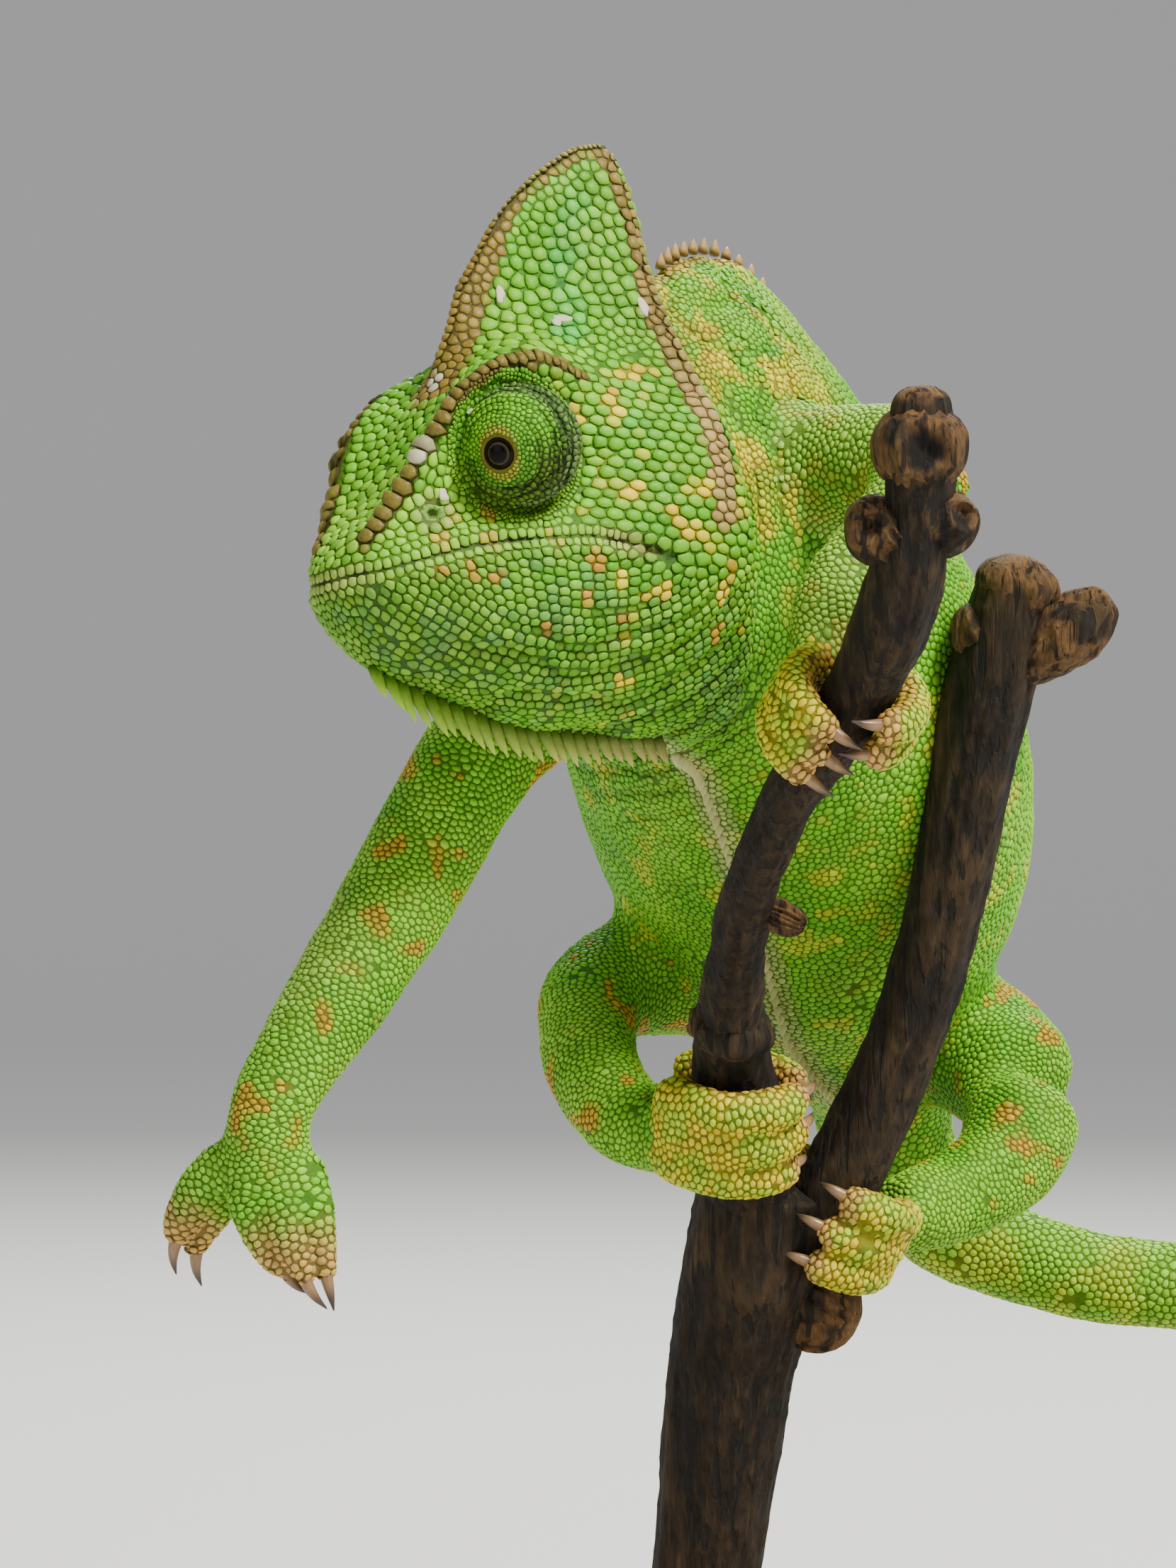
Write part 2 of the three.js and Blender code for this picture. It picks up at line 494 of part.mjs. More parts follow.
const FRONT_RIGHT = {
  name: "right",
  parts: ["upper_arm", "forearm", "hand"],
  points: [[7, 46, 22], [-4, 36, 11], [-12, 28, 3], [-20.4, 22, -11.8], [-27.9, 17, -24],
    [-33.9, 13, -34], [-34.8, 12, -40], [-34.4, 11.6, -43.5]],
  radii: [7.4, 7.2, 6.8, 6.5, 5.9, 4.9, 4.8, 4.2],
  cuts: [[[-21.6, 21.6, -12.6], [-0.5, -0.3, -0.8]], [[-34.2, 13, -34.2], [-0.4, -0.25, -0.9]]],
  innerToes: [
    [[-36.2, 11.5, -40], [-36.4, 10.5, -45], [-34.4, 9.8, -50], [-32.2, 9, -53]],
    [[-33.8, 11, -40], [-33.2, 9.6, -46], [-31.6, 8.6, -51], [-30, 8, -54]],
    [[-31.4, 12, -39.5], [-30, 11, -45], [-28.9, 10, -50], [-28, 9, -53.6]],
  ],
  outerToes: [
    [[-37.8, 13.5, -39.5], [-42, 15, -44], [-44.4, 16, -48], [-45, 16.5, -50.5]],
    [[-37.4, 16, -40], [-40.4, 17.5, -45.5], [-42.6, 18.6, -49.5], [-42.8, 19, -52]],
  ],
};

function limb(shape, end) {
  const whole = legOf(shape).subtract(flesh);
  const [upper, lower, palm] = slices(whole, shape.cuts);
  const around = (which) => grippingToes({ ...shape.grip, ...shape[which] });
  const [inner, outer] = shape.grip
    ? [around("inner"), around("outer")]
    : [openToes(shape.innerToes), openToes(shape.outerToes)];
  const clear = (solid, others) => solid.subtract(joined([perch, ...others]));
  const palmRoom = legOf(shape, GAP);
  const tag = (part) => part + "_" + end + "_" + shape.name;
  node(tag(shape.parts[0]), clear(upper, [headRoom, gularCrest]), GREEN);
  node(tag(shape.parts[1]), clear(lower, []), GREEN);
  node(tag(shape.parts[2]), clear(palm, []), GREEN);
  node(tag("toes_inner"), clear(inner, [palmRoom]), GREEN);
  node(tag("toes_outer"), clear(outer, [palmRoom, inner]), GREEN);
}
limb(FRONT_LEFT, "fore");
limb(FRONT_RIGHT, "fore");
limb(HIND_LEFT, "hind");
limb(HIND_RIGHT, "hind");

// ---- Perch and display stand ----
node("perch_front", frontTwig().subtract(stem(GAP)), BARK, 0.85);
node("perch_back", backTwig().subtract(stem(GAP)).subtract(frontTwig(GAP)), BARK, 0.85);
const rodFoot = at([STEM.points[0][0], STEM.points[0][1], -STUDY_AT[2]]);
function uprightRod(radius, bottom, top) {
  const g = new THREE.CylinderGeometry(radius, radius, top - bottom, 20);
  g.rotateX(Math.PI / 2);
  g.translate(rodFoot.x, rodFoot.y, (top + bottom) / 2);
  return solidOf(g);
}
node("perch_stem", stem().subtract(uprightRod(ROD_RADIUS + GAP, 0, ROD_TOP + GAP)), BARK, 0.85);
node("stand_rod", uprightRod(ROD_RADIUS, BASE_HEIGHT + GAP, ROD_TOP), STEEL, 0.4);
const BEVEL_TOP = BASE_HEIGHT - BASE_BEVEL;
const baseProfile = [[0, 0], [BASE_RADIUS, 0], [BASE_RADIUS, BEVEL_TOP],
  [BASE_RADIUS - BASE_BEVEL, BASE_HEIGHT], [0, BASE_HEIGHT]];
const base = new THREE.LatheGeometry(baseProfile.map(([r, z]) => new THREE.Vector2(r, z)), 48);
base.rotateX(Math.PI / 2);
node("stand_base", solidOf(base), TIMBER, 0.5);

export default root;
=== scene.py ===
"""A veiled chameleon, life size, climbing a forked dry twig that a round display stand holds up.

The animal looks towards -Y and its own left side is on +X. Lengths are millimetres in the frame of the
CAD nodes, and turn into metres where a mesh is made. The flesh is one skin, grown together from lofts of
the same forms as the solids. The scales are closed domes set into it: each one covers the ground that is
nearer to its own root than to its neighbours'.
"""
import math
from itertools import product

import bpy
import numpy as np
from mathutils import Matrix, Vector


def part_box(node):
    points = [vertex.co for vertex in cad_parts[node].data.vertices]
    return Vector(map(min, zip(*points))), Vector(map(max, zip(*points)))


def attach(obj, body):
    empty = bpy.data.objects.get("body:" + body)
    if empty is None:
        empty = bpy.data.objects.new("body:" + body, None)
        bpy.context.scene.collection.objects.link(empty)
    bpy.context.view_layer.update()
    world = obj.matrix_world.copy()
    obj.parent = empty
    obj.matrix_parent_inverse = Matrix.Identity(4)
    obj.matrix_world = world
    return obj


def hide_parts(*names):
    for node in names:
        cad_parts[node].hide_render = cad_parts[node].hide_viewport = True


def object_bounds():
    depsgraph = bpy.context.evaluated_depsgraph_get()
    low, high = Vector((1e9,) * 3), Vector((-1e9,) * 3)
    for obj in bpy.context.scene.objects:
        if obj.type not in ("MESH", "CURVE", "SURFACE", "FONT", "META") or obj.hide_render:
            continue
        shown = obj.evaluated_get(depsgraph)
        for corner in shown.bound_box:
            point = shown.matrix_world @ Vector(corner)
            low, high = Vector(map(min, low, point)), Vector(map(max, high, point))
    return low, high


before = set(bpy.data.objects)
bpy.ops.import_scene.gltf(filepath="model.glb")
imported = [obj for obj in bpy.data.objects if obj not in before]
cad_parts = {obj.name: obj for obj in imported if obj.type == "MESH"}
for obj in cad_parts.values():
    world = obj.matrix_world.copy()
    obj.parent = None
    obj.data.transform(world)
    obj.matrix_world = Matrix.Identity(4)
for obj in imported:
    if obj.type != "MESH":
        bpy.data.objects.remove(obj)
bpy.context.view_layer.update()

MM = 0.001
CHANCE = np.random.default_rng(11)

# ======== Small tools for lines and surfaces ========


def unit(vectors):
    """Each vector divided by its own length."""
    return vectors / np.maximum(np.linalg.norm(vectors, axis=-1, keepdims=True), 1e-9)


def lengths(vectors):
    """The length of each vector."""
    return np.linalg.norm(vectors, axis=-1)


def dots(one, other):
    """The dot product of each row with the same row of the other."""
    return np.einsum("ij,ij->i", one, other)


def full_turn(count):
    """Angles spread evenly all round, in radians."""
    return np.linspace(0, 2 * np.pi, count, endpoint=False)


def smooth_step(low, high, x):
    """0 below low and 1 above high, with a smooth rise between: 3t squared less 2t cubed."""
    t = np.clip((x - low) / (high - low), 0, 1)
    return t * t * (3 - 2 * t)


def bump_at(x, centre, width):
    """A bell of height 1 around the centre: e to the power of minus the squared distance in widths."""
    return np.exp(-(((x - centre) / width) ** 2))


def between_four(a, b, c, d, t):
    """The cubic from b to c whose slope at each end is half the rise between that end's neighbours."""
    slope = 0.5 * (c - a)
    bend = a - 2.5 * b + 2 * c - 0.5 * d
    twist = 1.5 * (b - c) + 0.5 * (d - a)
    return b + t * (slope + t * (bend + t * twist))


def curve(knots):
    """A smooth function through [place, value] pairs, level beyond both ends. A value may be a vector."""
    knots = sorted(knots, key=lambda knot: knot[0])
    places = np.array([place for place, _ in knots], float)
    values = np.array([value for _, value in knots], float)
    last = len(places) - 1

    def read(x):
        x = np.clip(np.asarray(x, float), places[0], places[-1])
        i = np.clip(np.searchsorted(places, x, side="right") - 1, 0, last - 1)
        t = (x - places[i]) / (places[i + 1] - places[i])
        four = [values[np.clip(i + k, 0, last)] for k in (-1, 0, 1, 2)]
        return between_four(*four, t[..., None] if values.ndim > 1 else t)

    return read


def evenly(values):
    """A smooth function of share 0 to 1 through evenly spread values."""
    return curve([[i / (len(values) - 1), value] for i, value in enumerate(values)])


def path(points):
    """A smooth line through the points, as a function of share 0 to 1. It runs on straight past its ends."""
    points = np.array(points, float)
    before, after = 2 * points[0] - points[1], 2 * points[-1] - points[-2]
    every = np.vstack([before, points, after])
    spans = len(points) - 1

    def read(t):
        p = np.clip(np.asarray(t, float), 0, 1) * spans
        i = np.clip(np.floor(p).astype(int), 0, spans - 1)
        return between_four(every[i], every[i + 1], every[i + 2], every[i + 3], (p - i)[..., None])

    return read


def frame_along(points, lean, t):
    """Places along a line, with the forward, side and top directions there. top follows lean."""
    place = path(points)
    step = 1e-3
    near = np.clip(t, step, 1 - step)
    forward = unit(place(near + step) - place(near - step))
    side = unit(np.cross(np.broadcast_to(lean(t), forward.shape), forward))
    return place(t), forward, side, np.cross(forward, side)


def loft(points, width, up=None, down=None, lean=(0.1, 0.9, 0.3), peak=1.0, ends=0.05, along=70, around=40):
    """A section carried along a smooth line: at share t and turn a it reaches cos(a) times the width to the
    side and sin(a) times up or down. The ends close as a quarter circle, and peak draws the top to a ridge."""
    share = np.linspace(0, 1, along + 1)
    slow = lambda t: t * (1 - ends) + 2 * t * t * ends
    t = np.where(share < 0.5, slow(share), 1 - slow(1 - share))
    near = np.minimum(np.minimum(t, 1 - t) / ends, 1)
    cap = np.sqrt(1 - (1 - near) ** 2)[:, None]
    lean_at = lean if callable(lean) else (lambda t: np.broadcast_to(np.array(lean, float), (len(t), 3)))
    place, _, side, top = frame_along(points, lean_at, t)
    turn = full_turn(around)[None]
    c, s = np.cos(turn), np.sin(turn)
    up, down = up or width, down or width
    across = np.sign(c) * np.abs(c) ** np.where(s > 0, peak, 1.0) * width(t)[:, None] * cap
    high = s * np.where(s > 0, up(t)[:, None], down(t)[:, None]) * cap
    return place[:, None] + side[:, None] * across[..., None] + top[:, None] * high[..., None]


def ring_quads(rings, around, first=0):
    """Faces between each ring of points and the next, where the first ring's first point has the given number."""
    k = np.arange(around)
    after = (k + 1) % around
    row = first + np.arange(rings - 1)[:, None] * around
    return np.stack([row + k, row + around + k, row + around + after, row + after], -1).reshape(-1, 4)


def shell(grid):
    """A closed surface from rings of points whose first and last rings have shrunk to one point each."""
    rings, around = grid.shape[:2]
    points = np.vstack([grid[0, :1], grid[1:-1].reshape(-1, 3), grid[-1, :1]])
    k = np.arange(around)
    after = (k + 1) % around
    last = len(points) - 1
    start = np.stack([np.zeros_like(k), 1 + k, 1 + after], -1)
    end = np.stack([np.full_like(k, last), last - around + after, last - around + k], -1)
    return facing_out(points, [ring_quads(rings - 2, around, 1), start, end])


def pointed_faces(count, rings, sides):
    """The faces of many shapes alike: each a closed floor, rings of points above it, and a tip as its last."""
    each = rings * sides + 1
    start = np.arange(count)[:, None] * each
    k = np.arange(sides)
    after = (k + 1) % sides
    faces = [start + k[::-1]]
    for low in range(0, (rings - 1) * sides, sides):
        quad = np.stack([low + k, low + after, low + sides + after, low + sides + k], -1)
        faces.append((start[..., None] + quad[None]).reshape(-1, 4))
    last = (rings - 1) * sides
    top = np.stack([last + k, last + after, np.full(sides, each - 1)], -1)
    faces.append((start[..., None] + top[None]).reshape(-1, 3))
    return faces


def facing_out(points, faces):
    """The same shell with its faces turned to point outwards: the volume they enclose is above zero."""
    volume = 0.0
    for group in faces:
        corner = points[group]
        for k in range(1, group.shape[1] - 1):
            volume += np.einsum("ij,ij->", corner[:, 0], np.cross(corner[:, k], corner[:, k + 1]))
    return points, (faces if volume > 0 else [group[:, ::-1] for group in faces])


def together(shells):
    """Several shells as one list of points and faces."""
    points, faces, count = [], [], 0
    for some_points, some_faces in shells:
        points.append(some_points)
        faces += [group + count for group in some_faces]
        count += len(some_points)
    return np.vstack(points), faces


def mesh_from(name, points, faces):
    """A Blender mesh, in metres, from points in millimetres and arrays of faces."""
    mesh = bpy.data.meshes.new(name)
    corners = np.concatenate([group.ravel() for group in faces]).astype(np.int32)
    sizes = np.concatenate([np.full(len(group), group.shape[1]) for group in faces])
    mesh.vertices.add(len(points))
    mesh.vertices.foreach_set("co", (points * MM).astype(np.float32).ravel())
    mesh.loops.add(len(corners))
    mesh.loops.foreach_set("vertex_index", corners)
    mesh.polygons.add(len(sizes))
    mesh.polygons.foreach_set("loop_start", (np.cumsum(sizes) - sizes).astype(np.int32))
    mesh.polygons.foreach_set("use_smooth", np.full(len(sizes), True))
    mesh.update(calc_edges=True)
    mesh.validate()
    return mesh


def in_scene(name, data):
    """A new object of the scene that shows the data."""
    made = bpy.data.objects.new(name, data)
    bpy.context.scene.collection.objects.link(made)
    return made


def give_attribute(mesh, name, values):
    """A value for each vertex, or a colour where the values have three columns."""
    if values.ndim > 1:
        layer = mesh.attributes.new(name, "FLOAT_COLOR", "POINT")
        rgba = np.column_stack([np.clip(values, 0, 1), np.ones(len(values))])
        layer.data.foreach_set("color", rgba.astype(np.float32).ravel())
    else:
        layer = mesh.attributes.new(name, "FLOAT", "POINT")
        layer.data.foreach_set("value", values.astype(np.float32))


def piece(name, points, faces, material, slot, stands_for=(), **attributes):
    """A finished piece of the object, riding on the one body."""
    mesh = mesh_from(name, points, faces)
    for key, values in attributes.items():
        give_attribute(mesh, key, values)
    mesh.materials.append(material)
    made = in_scene(name, mesh)
    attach(made, "root")
    if stands_for:
        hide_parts(*stands_for)
    return made


# ---- Noise and neighbours, as whole arrays ----


def scramble(cells, seed):
    """A number from 0 to 1 for each row of whole numbers, by multiplying and mixing their bits."""
    factors = np.array([73856093, 19349663, 83492791], np.uint32)
    mixed = (cells.astype(np.uint32) * factors).sum(-1, dtype=np.uint32)
    mixed ^= np.uint32(seed * 2654435761 % 2**32)
    for shift, factor in ((16, 0x7FEB352D), (15, 0x846CA68B), (16, 1)):
        mixed = (mixed ^ (mixed >> np.uint32(shift))) * np.uint32(factor)
    return mixed / 2.0**32


def noise(points, size, seed=0):
    """Smooth noise from 0 to 1 with features of the given size: random corner values of a cube lattice,
    mixed by the smooth step along each axis."""
    scaled = points / size + 1000.0
    base = np.floor(scaled)
    part = scaled - base
    part = part * part * (3 - 2 * part)
    total = np.zeros(len(points))
    for corner in product((0, 1), repeat=3):
        weight = np.prod(np.where(corner, part, 1 - part), axis=1)
        total += weight * scramble((base + corner).astype(np.int64), seed)
    return total


def near_pairs(one, other, reach):
    """Pairs (i, j, distance) with one[i] within reach of other[j], in order of i. Both sets are sorted into
    cubes as wide as the reach, and each cube is set against the 27 around it, three to a row at a time."""
    low = np.minimum(one.min(0), other.min(0)) - reach
    cube_one = np.floor((one - low) / reach).astype(np.int64) + 1
    cube_other = np.floor((other - low) / reach).astype(np.int64) + 1
    size = np.maximum(cube_one.max(0), cube_other.max(0)) + 2
    number = lambda cube: (cube[:, 0] * size[1] + cube[:, 1]) * size[2] + cube[:, 2]
    order = np.argsort(number(cube_other), kind="stable")
    numbers = number(cube_other)[order]
    firsts, seconds, distances = [], [], []
    for dx, dy in product((-1, 0, 1), repeat=2):
        key = number(cube_one + np.array([dx, dy, 0]))
        start = np.searchsorted(numbers, key - 1, "left")
        count = np.searchsorted(numbers, key + 1, "right") - start
        i = np.repeat(np.arange(len(one)), count)
        j = order[np.arange(count.sum()) + np.repeat(start - (np.cumsum(count) - count), count)]
        distance = lengths(one[i] - other[j])
        close = distance < reach
        firsts.append(i[close])
        seconds.append(j[close])
        distances.append(distance[close])
    i, j, distance = (np.concatenate(part) for part in (firsts, seconds, distances))
    order = np.lexsort((distance, i))
    return i[order], j[order], distance[order]


def nearest(one, other, reach):
    """For each point of one, the number of the nearest point of other, or -1 where none is in reach."""
    i, j, _ = near_pairs(one, other, reach)
    found = np.full(len(one), -1)
    which, first = np.unique(i, return_index=True)
    found[which] = j[first]
    return found


def least_distance(points, others, reach):
    """Each point's distance to the nearest of the others, or the reach where none is that near."""
    i, _, distance = near_pairs(points, others, reach)
    least = np.full(len(points), float(reach))
    which, first = np.unique(i, return_index=True)
    least[which] = distance[first]
    return least


def vertex_normals(points, faces):
    """Each vertex's outward direction: its faces' normals added up by their size."""
    total = np.zeros_like(points)
    for group in faces:
        corner = points[group]
        if group.shape[1] == 4:
            face = np.cross(corner[:, 2] - corner[:, 0], corner[:, 3] - corner[:, 1])
        else:
            face = np.cross(corner[:, 1] - corner[:, 0], corner[:, 2] - corner[:, 0])
        for k in range(group.shape[1]):
            for axis in range(3):
                total[:, axis] += np.bincount(group[:, k], face[:, axis], len(points))
    return unit(total)


# ======== The animal's forms, from the same named values as the solids ========
STUDY_AT = np.array([-23.0, -65.0, 136.0])  # the point that all places of animal and perch count from

HEAD_AT = STUDY_AT + (-13.9, 8.5, 34.5)  # between the eyes
HEAD_TURN, HEAD_NOD, HEAD_TILT = np.radians([40, 10, 8])
SNOUT, OCCIPUT = 21.9, -30.4
NOSE_ROUND, NAPE_ROUND = 4.5, 3.2
MOUTH_Z = -10.7
CASQUE_LEAN = 4
EYE_SIDE, EYE_RADIUS, EYEBALL_RADIUS = 11, 6.4, 2.6


def head_ways():
    """The head's own forward, left and up directions: turned, nodded, then tilted about its length."""
    turn, nod, tilt = HEAD_TURN, HEAD_NOD, HEAD_TILT
    forward = np.array([-np.cos(turn) * np.cos(nod), -np.sin(turn) * np.cos(nod), -np.sin(nod)])
    level = np.array([np.sin(turn), -np.cos(turn), 0])
    left = level * np.cos(tilt) + np.cross(forward, level) * np.sin(tilt)
    return np.stack([forward, left, np.cross(forward, left)])


HEAD_WAYS = head_ways()


def to_head(points):
    """Places in the head's own frame: x forward from the eyes, y to its left, z up."""
    return (points - HEAD_AT) @ HEAD_WAYS.T


def from_head(places):
    """The inverse of to_head."""
    return HEAD_AT + np.asarray(places, float) @ HEAD_WAYS


HEAD = {
    "top": curve([[22, -6.6], [18, -5.2], [14, -2.6], [10, 0.8], [5, 5.8], [2, 8.7], [0, 12], [-5, 19.4],
                  [-13, 27], [-21.5, 31.9], [-27, 32.6], [-30, 31.6]]),
    "blade": curve([[22, 1.6], [10, 4], [2, 4], [-2, 3], [-8, 2.6], [-16, 3.2], [-24, 4.2], [-30, 4.8]]),
    "bladeZ": curve([[22, -6.6], [14, -2.8], [5, 5.4], [2, 7.6], [-2, 11], [-8, 14.5], [-16, 17], [-30, 18]]),
    "ridge": curve([[22, 3], [18, 4.6], [15, 6.2], [12, 7.8], [7, 9.4], [3, 10.3], [0, 10.6], [-6, 10.6],
                    [-12, 10.2], [-20, 10.2], [-30, 10.2]]),
    "ridgeZ": curve([[22, -7.4], [18, -5.8], [15, -2.8], [12, 1.2], [7, 6], [3, 8.4], [0, 9.3], [-6, 8.9],
                     [-12, 5.8], [-18, 4], [-24, 3.6], [-30, 4]]),
    "cheek": curve([[22, 4.2], [18, 5.6], [14, 7], [10, 7.8], [5, 8.2], [0, 8.6], [-6, 9.8], [-12, 12.2],
                    [-18, 13.8], [-24, 13.8], [-30, 12.8]]),
    "cheekZ": curve([[22, -8.8], [14, -6.4], [5, -3], [0, -1.5], [-6, -1.5], [-12, -3], [-30, -4]]),
    "lip": curve([[22, 5], [18, 7.2], [14, 9], [10, 10.4], [5, 11.5], [0, 12.5], [-6, 13.4], [-12, 14.2],
                  [-18, 14.8], [-24, 14.4], [-30, 12.4]]),
    "lipZ": curve([[22, -11], [10, -10.6], [0, -10.9], [-8, -11.8], [-18, -13.5], [-30, -15]]),
    "jaw": curve([[22, 4], [18, 6], [14, 7.6], [10, 9], [5, 10], [0, 10.8], [-6, 11.4], [-12, 11.9],
                  [-18, 11.8], [-30, 9.6]]),
    "jawZ": curve([[22, -14.2], [14, -16.8], [5, -19.8], [-6, -22], [-18, -24], [-30, -25.5]]),
    "keel": curve([[22, -15.6], [18, -19.6], [14, -22.4], [11, -24.3], [3, -28.4], [-6, -31.3],
                   [-16, -33.5], [-25, -35.6], [-30, -36]]),
}
HEAD_RING = (("", "top"), ("blade", "bladeZ"), ("ridge", "ridgeZ"), ("cheek", "cheekZ"), ("lip", "lipZ"),
             ("jaw", "jawZ"), ("", "keel"))


def casque_lean(x, height):
    """How far the casque leans back: by the square of the way to its rear, and by its height."""
    return CASQUE_LEAN * np.clip((-8 - x) / 22, 0, 1) ** 2 * smooth_step(8, 32, height)


def head_grid(along=170, around=150):
    """The head as a surface of its length and the turn around it: at each place x a half ring of seven named
    points, joined smoothly and mirrored. It closes as a quarter circle at both ends, and the casque leans back."""
    t = np.linspace(0, 1, along)[:, None]
    turn = np.linspace(0, 1, around, endpoint=False)[None]
    x = SNOUT + (OCCIPUT - SNOUT) * (0.5 - 0.5 * np.cos(np.pi * t)) ** 0.9
    sides = [HEAD[y](x[:, 0]) if y else 0 * x[:, 0] for y, _ in HEAD_RING]
    heights = [HEAD[z](x[:, 0]) for _, z in HEAD_RING]
    sides = np.stack([-sides[1], *sides, -sides[5]], 1)
    heights = np.stack([heights[1], *heights, heights[5]], 1)
    v = np.where(turn < 0.5, turn, 1 - turn)[0] * 12
    i = np.minimum(v.astype(int), 5)
    y = np.maximum(between_four(*(sides[:, i + k] for k in range(4)), v - i), 0)
    z = between_four(*(heights[:, i + k] for k in range(4)), v - i) - MOUTH_Z
    near = np.minimum(np.minimum((SNOUT - x) / NOSE_ROUND, (x - OCCIPUT) / NAPE_ROUND), 1)
    close = np.sqrt(np.maximum(1 - (1 - near) ** 2, 0))
    height = MOUTH_Z + z * close
    return from_head(np.stack([x - casque_lean(x, height), np.sign(0.5 - turn) * y * close, height], -1))


TRUNK = {
    "points": np.array([[2, 21, 31], [8, 34, 29], [15, 48, 25], [20.6, 62, 15], [25.8, 77, 2], [29.5, 91, -13],
                        [34, 103, -27], [37, 111, -38], [38.5, 116, -46]]) + STUDY_AT,
    "width": evenly([9, 12.5, 18, 25.5, 27.2, 24, 15, 9, 7]),
    "up": evenly([19, 30.5, 37.5, 35, 33, 28, 18.5, 10, 7.5]),
    "down": evenly([24, 26, 26, 27, 27, 24, 16.5, 9.5, 7.5]),
    "lean": curve([[0, [-0.15, 0, 1]], [0.25, [0.03, 0.2, 1]], [0.4, [0.16, 0.45, 0.85]], [1, [0.28, 0.6, 0.72]]]),
}

CURL = {"centre": (92, 107, -84), "start": 20, "end": 5, "turns": 1.8, "steps": 20}
TAIL_ROOT = [[36, 109, -35], [38, 115, -46], [46, 114, -55.5], [60, 110, -60.5], [76, 108, -62.5]]
TAIL_RADII = evenly([9.5, 6.1, 5.5, 4.9, 4.2, 3.4, 2.7, 2, 1.5, 1])


def tail_points():
    """The tail's line: a sweep away to the left, then a spiral whose radius falls with its angle."""
    share = np.linspace(0, 1, CURL["steps"])
    angle = np.pi * (0.5 - 2 * CURL["turns"] * share)
    r = CURL["start"] + (CURL["end"] - CURL["start"]) * share**0.8
    x, y, z = CURL["centre"]
    spiral = np.column_stack([x + r * np.cos(angle), np.full_like(r, y), z + r * np.sin(angle)])
    return np.vstack([TAIL_ROOT, spiral]) + STUDY_AT


LIMBS = {
    "fore_left": {
        "points": [[12, 46, 30], [20, 43.5, 34], [29, 37, 35.6], [38, 28, 36.5], [34.6, 23.5, 29.5],
                   [27.5, 18.5, 20.5], [26.2, 18, 14.5], [28.6, 16, 9.8]],
        "radii": [8, 8, 7.2, 6, 5.4, 4.9, 4.7, 4.2],
        "joint": 3,
        "grip": {"centre": [27.6, 10.8, 8.2], "axis": [0.436, -0.495, 0.75], "palm": [0, 1, 0.3], "reach": 6.4},
        "inner": {"start": 25, "stop": 195, "shifts": [-4.2, -1.2, 1.8], "radius": 2.2, "slide": -2},
        "outer": {"start": -25, "stop": -160, "shifts": [0.6, 4.4], "radius": 2.6, "slide": -2},
    },
    "hind_right": {
        "points": [[30, 104, -26], [16, 93, -22.5], [2.5, 79, -24], [0, 68, -31], [3.8, 58, -38],
                   [8, 54.4, -40], [10.6, 54.6, -39.2]],
        "radii": [9, 8.6, 7, 6, 5.4, 5.2, 5],
        "grip": {"centre": [17, 53.6, -38.2], "axis": [0.1, -0.45, 0.9], "palm": [-1, 0.2, 0], "reach": 8.4},
        "inner": {"start": 20, "stop": 172, "shifts": [-4.4, 0, 4.4], "radius": 2.9, "slide": 2},
        "outer": {"start": -25, "stop": -150, "shifts": [-2.4, 2.4], "radius": 2.6},
    },
    "hind_left": {
        "points": [[38, 106, -28], [47, 97, -32], [53, 86, -37], [50, 80, -44.5], [44, 75, -48.5],
                   [38.5, 70.5, -50.2], [34.5, 67, -50]],
        "radii": [9, 9, 8, 6.6, 5.6, 5.2, 4.8],
        "joint": 2,
        "grip": {"centre": [27.8, 62.6, -49.6], "axis": [0.45, -0.2, 0.85], "palm": [1, 0.6, 0], "reach": 8},
        "inner": {"start": -20, "stop": -140, "shifts": [-4.2, 0, 4.2], "radius": 2.7},
        "outer": {"start": 25, "stop": 140, "shifts": [-2.4, 2.4], "radius": 2.5},
    },
    "fore_right": {
        "points": [[7, 46, 22], [-4, 36, 11], [-12, 28, 3], [-20.4, 22, -11.8], [-27.9, 17, -24],
                   [-33.9, 13, -34], [-34.8, 12, -40], [-34.4, 11.6, -43.5]],
        "radii": [7.4, 7.2, 6.8, 6.5, 5.9, 4.9, 4.8, 4.2],
        "open": [
            [[-36.2, 11.5, -40], [-36.4, 10.5, -45], [-34.4, 9.8, -50], [-32.2, 9, -53]],
            [[-33.8, 11, -40], [-33.2, 9.6, -46], [-31.6, 8.6, -51], [-30, 8, -54]],
            [[-31.4, 12, -39.5], [-30, 11, -45], [-28.9, 10, -50], [-28, 9, -53.6]],
            [[-37.8, 13.5, -39.5], [-42, 15, -44], [-44.4, 16, -48], [-45, 16.5, -50.5]],
            [[-37.4, 16, -40], [-40.4, 17.5, -45.5], [-42.6, 18.6, -49.5], [-42.8, 19, -52]],
        ],
    },
}
OPEN_TOE_RADII = [3, 2.8, 2.05, 1.3]


def gripping_toes(centre, axis, palm, reach, start, stop, shifts, radius, slide=0):
    """The lines of a bundle of toes bent round a twig: circles about its axis, from start to stop degrees
    counted from the palm, each shifted along the axis and spreading a little towards the tips."""
    up = unit(np.array(axis, float))
    back = unit(np.array(palm, float) - up * np.dot(palm, up))
    aside = np.cross(up, back)
    toes = []
    for k, shift in enumerate(shifts):
        share = np.linspace(0, 0.92 + 0.04 * (k % 2), 6)[:, None]
        angle = np.radians(start + (stop - start) * share)
        around = back * np.cos(angle) * reach + aside * np.sin(angle) * reach
        along = up * (shift * (0.75 + 0.35 * share) + slide * share)
        toes.append((np.array(centre) + around + along, [radius * 1.05, radius, radius * 0.95, radius * 0.8]))
    return toes


